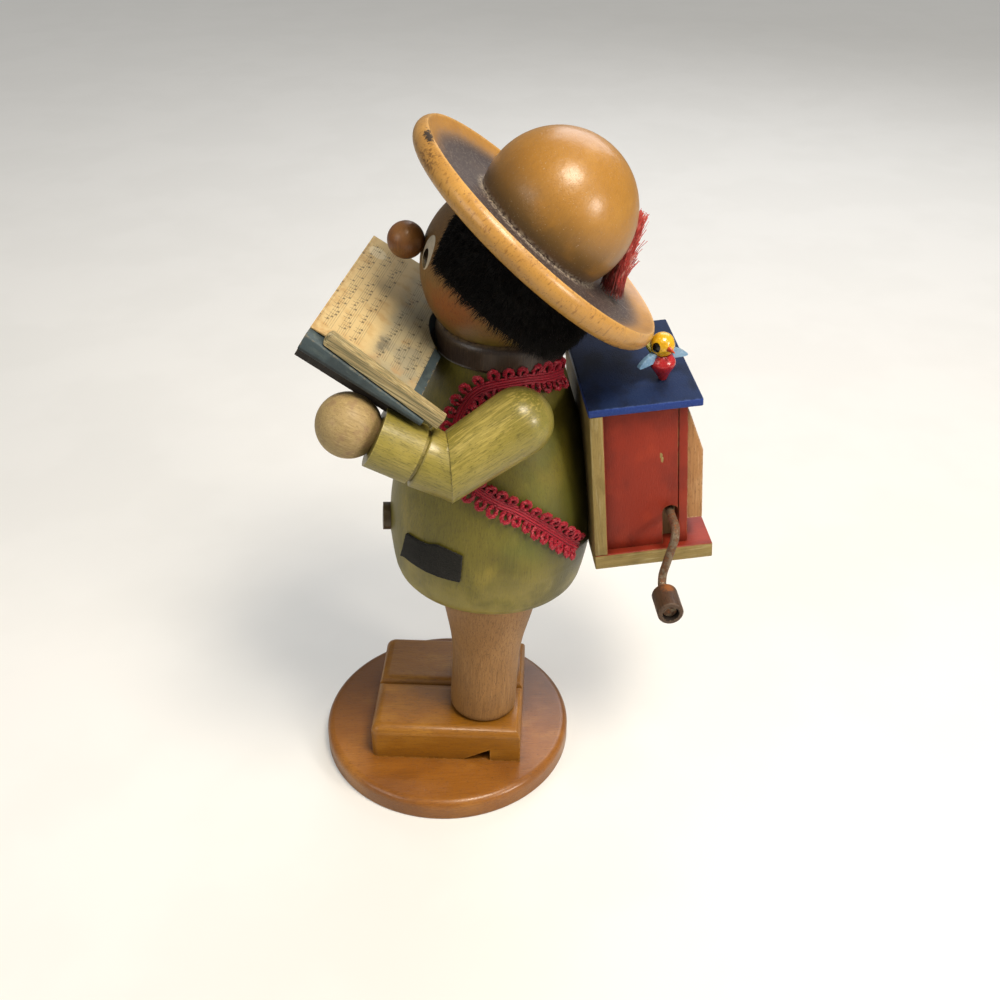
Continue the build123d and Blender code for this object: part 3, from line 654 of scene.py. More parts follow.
# Twisted rayon gimp: crimson and silky, with the thread's own fine relief drawn as coarse as it shows.
RAYON_BRAID = Finish(
    "crimson_rayon_braid", "#a3122b", 0.42,
    (Mottle("#7d0d22", 1.6, 0.45, 0.65, 0.5), Mottle("#cf3a50", 0.35, 0.56, 0.7, 0.4, seed=5)),
    Relief(0.12, 0.03), sheen=0.08, sheen_roughness=0.35,
)
# Woven plush: black, dull at the root, brownish and dusty at the tips.
BLACK_PLUSH = Finish(
    "black_plush_pile", "#0a0807", 0.75,
    (Mottle("#1f1812", 2.2, 0.5, 0.7, 0.5), Mottle("#5d564a", 0.5, 0.66, 0.72, 0.35, seed=8)),
    shine=0.25, sheen=0.04, sheen_roughness=0.4,
)
# Dyed down: red at the quill, faded to dusty pink at the ends.
DYED_DOWN = Finish(
    "dyed_down", "#a8322c", 0.75, (Mottle("#d9a096", (1.6, 1.6, 3.0), 0.5, 0.66, 0.65),), shine=0.2, sheen=0.4
)
# Printed rag paper, yellowed and cockled.
RAG_PAPER = Finish("foxed_rag_paper", "#cbb482", 0.72, relief=Relief(4, 0.12, seed=3), shine=0.3)
# Thick blue grey distemper brushed on a sawn block.
BLOCK_DISTEMPER = Finish(
    "blue_grey_distemper", "#46555a", 0.6,
    (Mottle("#333e42", 5, 0.42, 0.65, 0.6), Mottle("#5c6a68", (3, 3, 1.5), 0.52, 0.7, 0.5, seed=5)),
    Relief(0.8, 0.05),
)
# Thin dark brown distemper on a board.
COVER_DISTEMPER = Finish(
    "dark_brown_distemper", "#2b241d", 0.55, (Mottle("#171310", 6, 0.42, 0.65, 0.6),),
    Relief(0.5, 0.03),
)
# Bare sawn pine: fine straight grain lines, grey green in the hollows.
PINE_STRIP = Finish(
    "bare_pine_strip", "#a8966a", 0.55,
    (
        Mottle("#6f6b4c", (0.3, 0.3, 14), 0.46, 0.58, 0.8),
        Mottle("#cdbd90", (0.45, 0.45, 16), 0.52, 0.66, 0.7, seed=3),
    ),
    Relief((0.3, 0.3, 14), -0.06, 0.42, 0.6), coat=0.1,
)
# Blue casein paint on thin plywood.
BLUE_ROOF = Finish(
    "blue_painted_roof", "#223a7e", 0.45, (Mottle("#304c94", (0.5, 0.5, 6), 0.5, 0.65, 0.5),),
    Relief((0.4, 0.4, 0.9), 0.03, 0.35, 0.65, seed=5), shine=0.25,
)
# Matt background paper, nearly even.
PAPER_SWEEP = Finish("pale_paper_sweep", "#d9d9d6", 0.8, (Mottle("#cfcfcb", 60, 0.4, 0.6, 0.3),), shine=0.2)


@dataclass(frozen=True)
class Enamel:
    """Hand-dipped gloss enamel, a little uneven and dusty."""

    name: str
    colour: str
    shade: str
    light: str
    gloss: float = 0.5
    gloss_roughness: float = 0.1
    dust: str = "#8e8578"

    def lay_up(self, frame: Matrix) -> Surface:
        """Lays the enamel, thick and thin, with dust on it and painted shade in its nooks."""
        coat = Surface(self.name, frame, self.colour, 0.22)
        coat.lay(self.shade, coat.pattern(2.0, 0.45, 0.7), 0.45)
        coat.lay(self.light, coat.pattern(1.2, 0.55, 0.72, seed=3), 0.4)
        coat.lay(self.dust, coat.pattern(0.3, 0.66, 0.71, seed=6), 0.3, 0.6)
        # Painted shade in the nooks between the bird's parts.
        coat.lay(self.shade, coat.nooks(1.5), 0.4)
        coat.lift(coat.pattern(0.9, 0.3, 0.7), 0.05)
        return coat

    def closed(self, coat: Surface) -> Material:
        """Closes the enamel under its gloss."""
        return coat.close(Coat_Weight=self.gloss, Coat_Roughness=self.gloss_roughness)


RED_ENAMEL = Enamel("red_enamel", "#b3262a", "#7d1519", "#d65a5c")
YELLOW_ENAMEL = Enamel("yellow_enamel", "#dfb01c", "#b17e10", "#f0d25a")
ORANGE_ENAMEL = Enamel("orange_enamel", "#cf4c20", "#963213", "#e57a48")
PALE_BLUE_ENAMEL = Enamel("pale_blue_enamel", "#7fa6c8", "#4f7799", "#b4d0e6", 0.6, 0.08)
OLIVE_ENAMEL = Enamel("green_yellow_enamel", "#a9a134", "#7a7420", "#cfc765")


@dataclass(frozen=True)
class BoardPaint:
    """Thin plywood painted on its faces, with cream size and bare grain left on the sawn edges."""

    name: str
    paint: str
    shade: str
    glow: str
    edge: str = "#93804d"
    edge_dark: str = "#6d5c36"
    edge_light: str = "#c9bd8e"
    roughness: float = 0.42
    wear: float = 0.5

    def made(self, frame: Matrix, painted: list[Vector], chips: tuple[Triple, ...] = ()) -> Material:
        """Paints a board.

        Args:
            frame: The frame of its patterns, with the grain along z.
            painted: World directions of the faces that are painted; the others are bare edges.
            chips: Places where the paint has chipped off.

        Returns:
            The material.
        """
        board = Surface(self.name, frame, self.edge, 0.62)
        board.lay(self.edge_dark, board.pattern((0.45, 0.45, 9.0), 0.46, 0.7, seed=1), 0.4)
        board.lay(self.edge_light, board.pattern((0.7, 0.7, 9.0), 0.5, 0.75, seed=4), 0.35)
        board.lay(self.edge_dark, board.pattern((0.25, 0.25, 1.2), 0.58, 0.68, seed=6), 0.5)
        board.lay("#5a4a28", board.pattern((5, 5, 9), 0.5, 0.75, seed=14), 0.4)
        worn = board.both(board.edges(0.5), board.pattern((0.9, 0.9, 1.6), 0.42, 0.6, seed=8))
        cover = board.facing(painted[0], 0.35, 0.55)
        for direction in painted[1:]:
            more = board.facing(direction, 0.35, 0.55)
            cover = board.add("Math", {"operation": "MAXIMUM"}, {0: cover, 1: more}).outputs[0]
        keep = board.add("Math", {"operation": "MULTIPLY_ADD"}, {0: worn, 1: -self.wear, 2: 1.0}).outputs[0]
        cover = board.both(cover, keep)
        for centre in chips:
            chip = board.spot(centre, (0.7, 0.45, 1.0), 0.3, 0.5, 0.5)
            cover = board.both(cover, board.outside(chip))
        board.lay(self.paint, cover, 1.0, self.roughness)
        board.lay(self.shade, board.both(cover, board.pattern((9, 9, 14), 0.45, 0.7, seed=2)), 0.5)
        board.lay(self.glow, board.both(cover, board.pattern((7, 7, 10), 0.5, 0.7, seed=12)), 0.4)
        board.lay(self.shade, board.both(cover, board.pattern((0.3, 0.3, 0.5), 0.56, 0.68, seed=3)), 0.35)
        # Painted shade in the nooks between the boards.
        board.lay("#16100a", board.nooks(4.0), 0.5)
        board.lift(cover, 0.06)
        board.lift(board.pattern((0.35, 0.35, 1.4), 0.35, 0.65, seed=5), 0.02)
        return board.close(Specular_IOR_Level=0.3)


# Dull red casein paint, brighter where hands have rubbed it.
RED_BOARD = BoardPaint("red_painted_plywood", "#8b2c1a", "#6b2116", "#a63a20")


def deselect() -> None:
    """Leaves edit mode and deselects everything."""
    if bpy.context.object and bpy.context.object.mode != "OBJECT":
        bpy.ops.object.mode_set(mode="OBJECT")
    bpy.ops.object.select_all(action="DESELECT")


def activate(piece: Piece) -> None:
    """Makes a piece the only selected one, and the active one."""
    deselect()
    piece.select_set(True)
    bpy.context.view_layer.objects.active = piece


def edit(piece: Piece) -> None:
    """Opens a piece in edit mode with all of it selected."""
    activate(piece)
    bpy.ops.object.mode_set(mode="EDIT")
    bpy.ops.mesh.select_all(action="SELECT")


def settle(piece: Piece, smooth: float = 35.0) -> Piece:
    """Applies a piece's modifiers and place, and smooths its shading below an angle.

    Args:
        piece: The piece.
        smooth: The angle in degrees.

    Returns:
        The piece.
    """
    activate(piece)
    for modifier in list(piece.modifiers):
        bpy.ops.object.modifier_apply(modifier=modifier.name)
    bpy.ops.object.transform_apply(location=True, rotation=True, scale=True)
    bpy.ops.object.shade_smooth_by_angle(angle=math.radians(smooth))
    return piece


def dress(piece: Piece, material: Material) -> None:
    """Gives a piece one material all over."""
    piece.data.materials.clear()
    piece.data.materials.append(material)
    for face in piece.data.polygons:
        face.material_index = 0
    LOG.info("%s: %s", piece.name, material.name)


def stand_for(piece: Piece, body: str, slot: str, material: Material, *nodes: str) -> None:
    """Dresses a new piece, lets it ride on a body and hides the nodes that it stands for.

    Args:
        piece: The new piece.
        body: The body that carries it.
        slot: The record's material slot; not used.
        material: Its finish.
        *nodes: The nodes that it replaces.
    """
    dress(piece, material)
    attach(piece, body)
    if nodes:
        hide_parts(*nodes)
    LOG.info("%s stands for %s", piece.name, ", ".join(nodes) or "itself")


def mesh_piece(name: str, points: list[Vector], faces: list[Face]) -> Piece:
    """Makes a piece from points in metres and faces, for fur, barbs and braid that no tool draws.

    Args:
        name: Its name.
        points: Its points.
        faces: Its faces, as numbers of points.

    Returns:
        The piece.
    """
    mesh = bpy.data.meshes.new(name)
    mesh.from_pydata([tuple(point) for point in points], [], faces)
    mesh.update()
    piece = bpy.data.objects.new(name, mesh)
    bpy.context.scene.collection.objects.link(piece)
    return piece


def board(name: str, frame: Matrix, low: Triple, high: Triple, round_edge: float = 0.4) -> Piece:
    """Saws a board and breaks its edges.

    Args:
        name: The piece's name.
        frame: The frame of its corners.
        low: Its lowest corner.
        high: Its highest corner.
        round_edge: The width of the worn edge.

    Returns:
        The board, in place.
    """
    deselect()
    bpy.ops.mesh.primitive_cube_add(size=1.0)
    piece = bpy.context.object
    piece.name = name
    size = [(b - a) * MM for a, b in zip(low, high)]
    middle = Vector([(a + b) / 2 * MM for a, b in zip(low, high)])
    edit(piece)
    bpy.ops.transform.resize(value=size, center_override=(0, 0, 0))
    bpy.ops.object.mode_set(mode="OBJECT")
    piece.matrix_world = frame @ Matrix.Translation(middle)
    worn = piece.modifiers.new("worn_edge", "BEVEL")
    worn.width = round_edge * MM
    worn.segments = 3
    worn.limit_method = "ANGLE"
    return piece


def turned(name: str, frame: Matrix, outline: tuple[tuple[float, float], ...]) -> Piece:
    """Turns a solid piece on the lathe.

    Args:
        name: The piece's name.
        frame: The frame whose z is the lathe's axis.
        outline: The height and radius of each ring, from the foot up.

    Returns:
        The piece, in place.
    """
    deselect()
    height, radius = outline[0]
    bpy.ops.mesh.primitive_circle_add(
        vertices=96, radius=radius * MM, fill_type="NGON", location=(0, 0, height * MM)
    )
    piece = bpy.context.object
    piece.name = name
    bpy.ops.object.transform_apply(location=True)
    edit(piece)
    for (old_height, old_radius), (height, radius) in zip(outline, outline[1:]):
        bpy.ops.mesh.extrude_region_move(TRANSFORM_OT_translate={"value": (0, 0, (height - old_height) * MM)})
        grow = radius / old_radius
        bpy.ops.transform.resize(value=(grow, grow, 1), center_override=(0, 0, height * MM))
    bpy.ops.mesh.select_all(action="SELECT")
    bpy.ops.mesh.normals_make_consistent(inside=False)
    bpy.ops.object.mode_set(mode="OBJECT")
    piece.matrix_world = frame
    return settle(piece)


def reworked(
    node: Piece, name: str, frame: Matrix, move: Mover,
    cuts: list[tuple[Vector, Vector]] | None = None, smooth: float = 30.0,
) -> Piece:
    """Copies a node as a new piece, merges its loose triangles and moves its points.

    Args:
        node: The node.
        name: The new piece's name.
        frame: The frame that the points are moved in.
        move: Gives a point's new place, in millimetres of that frame.
        cuts: Planes of the frame, each a point and a normal, that the faces are cut at first, so that
            they can follow a curve.
        smooth: The angle below which its shading is smooth.

    Returns:
        The new piece.
    """
    piece = node.copy()
    piece.data = node.data.copy()
    piece.name = name
    piece.parent = None
    for key in list(piece.keys()):
        if key.startswith("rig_"):
            del piece[key]
    bpy.context.scene.collection.objects.link(piece)
    edit(piece)
    bpy.ops.mesh.remove_doubles(threshold=0.00001)
    for point, normal in cuts or []:
        bpy.ops.mesh.select_all(action="SELECT")
        bpy.ops.mesh.bisect(plane_co=frame @ (point * MM), plane_no=frame.to_3x3() @ normal)
    bpy.ops.object.mode_set(mode="OBJECT")
    inverse = frame.inverted()
    for vertex in piece.data.vertices:
        vertex.co = frame @ (move(inverse @ vertex.co / MM) * MM)
    edit(piece)
    bpy.ops.mesh.dissolve_limited(angle_limit=math.radians(0.3))
    bpy.ops.object.mode_set(mode="OBJECT")
    settle(piece, smooth)
    even = piece.modifiers.new("even_shading", "WEIGHTED_NORMAL")
    even.keep_sharp = True
    bpy.ops.object.modifier_apply(modifier=even.name)
    return piece


def sweep(
    points: list[Vector], faces: list[Face], path: list[Vector], sides: int, radius: float,
    lobes: int = 0, lobe: float = 0.0, turns: float = 0.0,
) -> None:
    """Sweeps a thread along a path, closed at both ends.

    Args:
        points: The points of the piece, in metres, which get the thread's.
        faces: The faces of the piece, which get the thread's.
        path: The thread's middle line, in metres.
        sides: How many sides it has.
        radius: Its radius in millimetres.
        lobes: How many plies show across it.
        lobe: How deep the plies are, as a share of the radius.
        turns: How many times the plies turn along it.
    """
    start = len(points)
    last = len(path) - 1
    across = Vector((0, 0, 1))
    for index, place in enumerate(path):
        ahead = (path[min(index + 1, last)] - path[max(index - 1, 0)]).normalized()
        if index == 0:
            across = ahead.orthogonal()
        across = (across - ahead * across.dot(ahead)).normalized()
        other = ahead.cross(across)
        twist = 2 * math.pi * turns * index / last
        for side in range(sides):
            angle = 2 * math.pi * side / sides
            bulge = 1 + lobe * math.cos(lobes * (angle + twist))
            offset = across * math.cos(angle) + other * math.sin(angle)
            points.append(place + offset * radius * bulge * MM)
        if index:
            ring = start + (index - 1) * sides
            for side in range(sides):
                after = (side + 1) % sides
                faces.append((ring + side, ring + after, ring + sides + after, ring + sides + side))
    faces.append(tuple(start + side for side in reversed(range(sides))))
    faces.append(tuple(start + last * sides + side for side in range(sides)))


def smooth_path(corners: list[Vector], spacing: float) -> list[Vector]:
    """Draws an even, smooth line through points.

    Args:
        corners: The points that it passes.
        spacing: The length of its steps, in the points' units.

    Returns:
        The line's points.
    """
    ends = [2 * corners[0] - corners[1], *corners, 2 * corners[-1] - corners[-2]]
    fine: list[Vector] = []
    for before, first, second, after in zip(ends, ends[1:], ends[2:], ends[3:]):
        for step in range(24):
            t = step / 24
            fine.append(0.5 * (
                2 * first + (second - before) * t
                + (2 * before - 5 * first + 4 * second - after) * t * t
                + (3 * first - before - 3 * second + after) * t ** 3
            ))
    fine.append(corners[-1])
    even = [fine[0]]
    travelled = 0.0
    for here, there in zip(fine, fine[1:]):
        length = (there - here).length
        while travelled + length >= spacing * len(even):
            share = (spacing * len(even) - travelled) / length
            even.append(here.lerp(there, share))
        travelled += length
    return even


@dataclass
class Stand:
    """The base disc, the shoes, the legs, the waist plug and the burner plate."""

    leg_x: float = 8.4
    leg_back: float = 1.2
    leg_gap: float = 0.03
    leg_line: tuple = (
        (0.05, 9.2), (0.4, 9.9), (1.2, 10.4), (2.4, 10.5), (14.0, 10.45), (21.0, 10.5), (25.5, 10.8),
        (29.0, 11.25), (32.5, 11.9), (36.0, 12.65), (39.5, 13.4), (43.5, 14.2), (47.0, 14.85), (49.95, 15.3),
    )
    plug_line: tuple = ((50.0, 15.8), (54.2, 15.8), (55.0, 15.0))
    toe: Pair = (16.1, -27.3)
    toe_was: float = 6.5
    toe_round: float = 2.5
    toe_planes: tuple[int, ...] = tuple(range(31, 60, 4))

    def leg(self, side: Side) -> Piece:
        """Turns a leg, flared at the top and sawn flat where it meets the other one.

        Args:
            side: The figure's side.

        Returns:
            The leg, in place.
        """
        feet = FRAMES.feet()
        place = feet @ Matrix.Translation(Vector((side.value * self.leg_x, self.leg_back, 0)) * MM)
        piece = turned(side.named("turned_leg"), place, self.leg_line)
        edit(piece)
        bpy.ops.mesh.bisect(
            plane_co=feet @ Vector((side.value * self.leg_gap * MM, 0, 0)),
            plane_no=feet.to_3x3() @ Vector((side.value, 0, 0)),
            use_fill=True, clear_inner=True,
        )
        bpy.ops.object.mode_set(mode="OBJECT")
        return settle(piece)

    def squarer(self, side: Side) -> Mover:
        """How the points of a shoe's outer toe move to leave it rounded less.

        Args:
            side: The figure's side.

        Returns:
            The move, in the shoes' frame.
        """
        straight = self.toe_was - self.toe_round

        def move(place: Vector) -> Vector:
            """Moves a point from the old round out to the square corner with its small round."""
            along = Vector((side.value * place.x - self.toe[0], self.toe[1] - place.y))
            if min(along) <= 0:
                return place
            ahead = along.normalized()
            both = ahead.x + ahead.y
            inside = (straight * both) ** 2 - 2 * straight ** 2 + self.toe_round ** 2
            reach = self.toe_was / max(ahead)
            if reach * min(ahead) > straight and inside > 0:
                reach = straight * both + math.sqrt(inside)
            along *= reach / self.toe_was
            return Vector((side.value * (self.toe[0] + along.x), self.toe[1] - along.y, place.z))

        return move

    def block(self, node: Piece, side: Side) -> Piece:
        """A shoe: its node with the outer toe squared.

        Args:
            node: The node.
            side: The figure's side.

        Returns:
            The shoe.
        """
        corner = Vector((side.value * self.toe[0], self.toe[1], 0))
        fan = [math.radians(angle) for angle in self.toe_planes]
        cuts = [(corner, Vector((side.value * math.sin(angle), math.cos(angle), 0))) for angle in fan]
        return reworked(node, side.named("shoe_block"), FRAMES.shoes(), self.squarer(side), cuts)

    def build(self, nodes: Nodes) -> None:
        """Makes the shoes, the legs and the spigot, and dresses the whole stand."""
        disc = ORANGE_DISC.lay_up(Matrix.Rotation(math.radians(90), 4, "X"))
        rub = disc.both(disc.edges(1.2), disc.pattern(1.5, 0.45, 0.6))
        disc.lay("#d2995a", rub, 0.3)
        # Painted shadow: the disc darkens towards its far side, where the figure's shadow falls.
        disc.lay("#4f2c0c", disc.ramp(Measure.X, 10, -24), 0.6)
        dress(nodes["base_disc"], ORANGE_DISC.varnish(disc))
        shoe = ORANGE_SHOE.lay_up(FRAMES.shoes() @ Matrix.Rotation(math.radians(90), 4, "X"))
        # Painted highlight along the shoes' edges.
        shoe.lay("#cf9c52", shoe.both(shoe.edges(0.8), shoe.pattern(1.2, 0.4, 0.6)), 0.45)
        varnished = ORANGE_SHOE.varnish(shoe)
        beech = BARE_LEG.made(FRAMES.figure())
        for side in Side:
            block = self.block(nodes[side.named("shoe")], side)
            stand_for(block, "stand", "orange_stained_wood", varnished, side.named("shoe"))
            stand_for(self.leg(side), "stand", "plain_wood", beech, side.named("leg"))
        bare = BARE_INSIDE.made(FRAMES.figure())
        plug = BARE_INSIDE.lay_up(FRAMES.figure())
        plug.lay("#2b1d10", plug.both(plug.ramp(Measure.Z, 50, 55), plug.pattern(3, 0.35, 0.6)), 0.7)
        spigot = turned("waist_spigot", FRAMES.figure(), self.plug_line)
        stand_for(spigot, "stand", "plain_wood", BARE_INSIDE.varnish(plug), "waist_plug")
        for name in (Side.LEFT.named("shoulder_peg"), Side.RIGHT.named("shoulder_peg"), "crank_bearing"):
            dress(nodes[name], bare)
        brass = BRASS_PLATE.lay_up(FRAMES.figure())
        resin = brass.both(brass.ramp(Measure.RADIUS, 8, 3), brass.pattern(1, 0.35, 0.6))
        brass.lay("#191410", resin, 0.8, 0.8)
        dress(nodes["burner_plate"], BRASS_PLATE.closed(brass))
        dress(nodes["burner_tack"], STEEL_TACK.made(FRAMES.figure()))


@dataclass
class Coat:
    """The turned coat with its buttons, its felt patch and its braid straps."""

    neck_up: float = 123.0
    belly_up: float = 66.0
    foot_was: float = 42.5
    foot_line: tuple = (
        (50.0, 25.8), (50.5, 26.9), (51.4, 27.6), (53.0, 28.2), (56.0, 28.8), (60.0, 29.4), (63.0, 29.8),
        (66.0, 30.0),
    )
    bore_r: float = 16.0
    organ_flat: float = 28.25
    seen_from: float = 60.0
    felt: float = 0.9
    felt_lift: float = 0.05
    patch_top: tuple = ((-25.1, 6.1), (-20.0, 6.6), (-16.5, 7.7), (-10.2, 6.4))
    patch_foot: tuple = ((-26.6, -3.8), (-25.1, -2.7), (-19.2, -2.7), (-16.0, -2.6), (-10.6, -2.4))
    strap_route: tuple = (
        (20.5, -5.8), (13.3, -3.0), (3.7, -1.7), (-6.2, -4.4), (-11.2, -11.5),
        (-12.6, -20.0), (-9.6, -28.0), (-2.0, -33.2), (4.8, -36.6), (13.8, -43.9), (23.2, -54.0),
    )
    strap_inner_x: float = 7.0
    braid_step: float = 0.5
    cord_r: float = 0.42
    cord_gap: float = 0.72
    cord_count: int = 4
    picot_pitch: float = 3.4
    picot_reach: float = 2.5
    picot_r: float = 0.5
    ply_turn: float = 1.25
    ply_apart: float = 0.26

    def fuller(self, place: Vector) -> Vector:
        """Moves a point below the belly to the real coat's high, wide foot.

        Args:
            place: The point in the figure's frame, in millimetres.

        Returns:
            Its new place.
        """
        if place.z >= self.belly_up:
            return place
        foot_up = self.foot_line[0][0]
        share = (place.z - self.foot_was) / (self.belly_up - self.foot_was)
        height = foot_up + (self.belly_up - foot_up) * share
        around = Vector((place.x, place.y))
        if around.length > self.bore_r + 0.5:
            wide = self.foot_line[0][1]
            for (low, first), (high, second) in zip(self.foot_line, self.foot_line[1:]):
                if height >= low:
                    wide = first + (second - first) * min((height - low) / (high - low), 1.0)
            around *= wide / around.length
            if height > self.belly_up - 3:
                around.y = min(around.y, self.organ_flat)
        return Vector((around.x, around.y, height))

    def body(self, node: Piece) -> Piece:
        """The coat: its node with the foot raised and filled out."""
        foot_up = self.foot_line[0][0]
        stretch = (self.belly_up - self.foot_was) / (self.belly_up - foot_up)
        upward = Vector((0, 0, 1))
        cuts = [
            (Vector((0, 0, self.foot_was + (height - foot_up) * stretch)), upward)
            for height, _ in self.foot_line[1:]
        ]
        return reworked(node, "turned_coat", FRAMES.figure(), self.fuller, cuts)

    def outside(
        self, tree: BVHTree, side: Side, back: float, up: float
    ) -> tuple[Vector | None, Vector | None]:
        """The coat's surface seen from the side.

        Args:
            tree: The coat's faces.
            side: The side that it is seen from.
            back: The place along the figure's y.
            up: The height over the figure's foot.

        Returns:
            The point on the coat in metres and the coat's normal there, or nothing beside the coat.
        """
        origin = FRAMES.figure() @ (Vector((side.value * self.seen_from, back, up)) * MM)
        point, normal, _, _ = tree.ray_cast(origin, Vector((-side.value, 0, 0)))
        return point, normal

    def braid(self, side: Side, tree: BVHTree) -> Piece:
        """Works a strap: fine cords side by side, with a twisted picot at each edge all along.

        Args:
            side: The figure's side.
            tree: The coat's faces.

        Returns:
            The strap.
        """
        seen = []
        for place in smooth_path([Vector((back, up, 0)) for back, up in self.strap_route], 0.4):
            point, _ = self.outside(tree, side, place.x, self.neck_up + place.y)
            if point and abs(point.x) > self.strap_inner_x * MM:
                seen.append(point)
        middle, normals = [], []
        for place in smooth_path(seen, self.braid_step * MM):
            point, normal, _, _ = tree.find_nearest(place)
            middle.append(point + normal * self.cord_r * MM)
            normals.append(normal)
        points: list[Vector] = []
        faces: list[Face] = []
        last = len(middle) - 1
        forward = [(middle[min(i + 1, last)] - middle[max(i - 1, 0)]).normalized() for i in range(last + 1)]
        sideways = [n.cross(f).normalized() for n, f in zip(normals, forward)]
        for cord in range(self.cord_count):
            shift = (cord - (self.cord_count - 1) / 2) * self.cord_gap * MM
            rise = 0.12 * MM if cord % 2 else 0.0
            path = [m + s * shift + n * rise for m, s, n in zip(middle, sideways, normals)]
            sweep(points, faces, path, 8, self.cord_r, 2, 0.16, last / 4)
        step = round(self.picot_pitch / self.braid_step)
        edge = self.cord_count / 2 * self.cord_gap * MM
        chance = random.Random(11 + side.value)
        for index in range(3, last - 2, step):
            for hand in (1, -1):
                reach = self.picot_reach * (0.9 + 0.25 * chance.random()) * MM
                rise = 0.35 + 0.3 * chance.random()
                slew = 0.25 * (chance.random() - 0.3)
                out = (sideways[index] * hand + normals[index] * rise + forward[index] * slew).normalized()
                foot = middle[index] + sideways[index] * hand * edge
                loop = self.picot(foot, out, forward[index], normals[index], reach)
                for ply in (0.0, math.pi):
                    sweep(points, faces, self.ply(loop, ply), 5, self.picot_r)
        return mesh_piece(side.named("strap_braid"), points, faces)

    def picot(self, foot: Vector, out: Vector, along: Vector, up: Vector, reach: float) -> list[Vector]:
        """The middle line of one curled picot, out from the braid's edge and back.

        Args:
            foot: Where it leaves the edge.
            out: Its direction away from the edge.
            along: The braid's direction.
            up: The direction away from the coat.
            reach: How far out it goes, in metres.

        Returns:
            The line's points.
        """
        line = []
        for step in range(19):
            turn = math.radians(-70 + 320 * step / 18)
            rounded = out * (reach * 0.5 * (1 + math.sin(turn))) + along * (reach * 0.42 * math.cos(turn))
            line.append(foot + rounded + up * (0.5 * MM * step / 18))
        return line

    def ply(self, line: list[Vector], phase: float) -> list[Vector]:
        """One of the two plies that twist round a picot's middle line.

        Args:
            line: The middle line.
            phase: Where the ply starts, in radians.

        Returns:
            The ply's line.
        """
        path = []
        last = len(line) - 1
        for index, place in enumerate(line):
            ahead = (line[min(index + 1, last)] - line[max(index - 1, 0)]).normalized()
            across = ahead.orthogonal().normalized()
            other = ahead.cross(across)
            turn = phase + index * self.ply_turn
            path.append(place + (across * math.cos(turn) + other * math.sin(turn)) * self.ply_apart * MM)
        return path

    def felt_patch(self, tree: BVHTree) -> Piece:
        """Cuts the felt patch and lays it on the coat.

        Args:
            tree: The coat's faces.

        Returns:
            The patch.
        """
        deselect()
        columns, rows = 44, 22
        bpy.ops.mesh.primitive_grid_add(x_subdivisions=columns, y_subdivisions=rows, size=1.0)
        piece = bpy.context.object
        piece.name = "felt_patch"
        top = smooth_path([Vector((y, z, 0)) for y, z in self.patch_top], 0.1)
        foot = smooth_path([Vector((y, z, 0)) for y, z in self.patch_foot], 0.1)
        for vertex in piece.data.vertices:
            along, down = vertex.co.x + 0.5, 0.5 - vertex.co.y
            upper = top[min(round(along * (len(top) - 1)), len(top) - 1)]
            lower = foot[min(round(along * (len(foot) - 1)), len(foot) - 1)]
            place = upper.lerp(lower, down)
            edge = min(along, 1 - along, down, 1 - down)
            fray = 0.12 * noise.noise(Vector((place.x * 1.7, place.y * 1.7, 5))) * (edge < 0.03)
            point, normal = self.outside(tree, Side.LEFT, place.x + fray, self.belly_up + place.y + fray)
            vertex.co = point + normal * self.felt_lift * MM
        thick = piece.modifiers.new("felt", "SOLIDIFY")
        thick.thickness = self.felt * MM
        thick.offset = 1.0
        soft = piece.modifiers.new("soft_edge", "BEVEL")
        soft.width = 0.25 * MM
        soft.segments = 3
        return settle(piece, 60)

    def stain(self) -> Material:
        """The coat's stain, greener where it pooled by the straps, with painted light on its lower part and
        painted shade towards the organ.
        """
        coat = OLIVE_COAT.lay_up(FRAMES.figure())
        coat.lay("#55641f", coat.spot((26, 10, 82), (20, 18, 20), 0.9, 0.3, 6), 0.5)
        coat.lay("#5f6e2c", coat.spot((26, 14, 106), (14, 16, 14), 0.9, 0.3, 5), 0.55)
        # Painted shade: the coat darkens towards the organ.
        coat.lay("#282c0a", coat.ramp(Measure.Y, 6, 26), 0.8)
        # Painted light: lighter patches over the coat's lower part.
        low = coat.both(coat.ramp(Measure.Z, 74, 50), coat.pattern(12, 0.35, 0.6))
        coat.lay("#b0a253", low, 0.45)
        coat.lay("#2a2712", coat.both(coat.edges(0.6), coat.ramp(Measure.Z, 53, 51)), 0.6)
        inside = coat.ramp(Measure.RADIUS, 16.3, 16.0)
        coat.lay("#3b2a17", inside, 1.0, 0.75)
        coat.lay("#15100b", coat.both(inside, coat.pattern((4, 4, 9), 0.35, 0.65)), 0.85, 0.85)
        return OLIVE_COAT.varnish(coat)

    def build(self, nodes: Nodes) -> None:
        """Dresses the coat and its buttons, and makes the patch and the straps."""
        coat = self.body(nodes["coat"])
        stand_for(coat, "figure", "green_stained_wood", self.stain(), "coat")
        dress(nodes["coat_buttons"], BROWN_BUTTON.made(FRAMES.figure()))
        tree = BVHTree.FromObject(coat, bpy.context.evaluated_depsgraph_get())
        wool = WOOL_FELT.made(FRAMES.figure())
        stand_for(self.felt_patch(tree), "figure", "grey_felt", wool, "coat_patch")
        rayon = RAYON_BRAID.lay_up(FRAMES.figure())
        # Painted shade between the cords.
        rayon.lay("#3a0510", rayon.nooks(1.2, 0.8, 0.25), 0.75)
        silky = RAYON_BRAID.closed(rayon)
        for side in Side:
            braid = self.braid(side, tree)
            activate(braid)
            bpy.ops.object.shade_smooth_by_angle(angle=math.radians(60))
            stand_for(braid, "figure", "red_braid", silky, side.named("strap"))


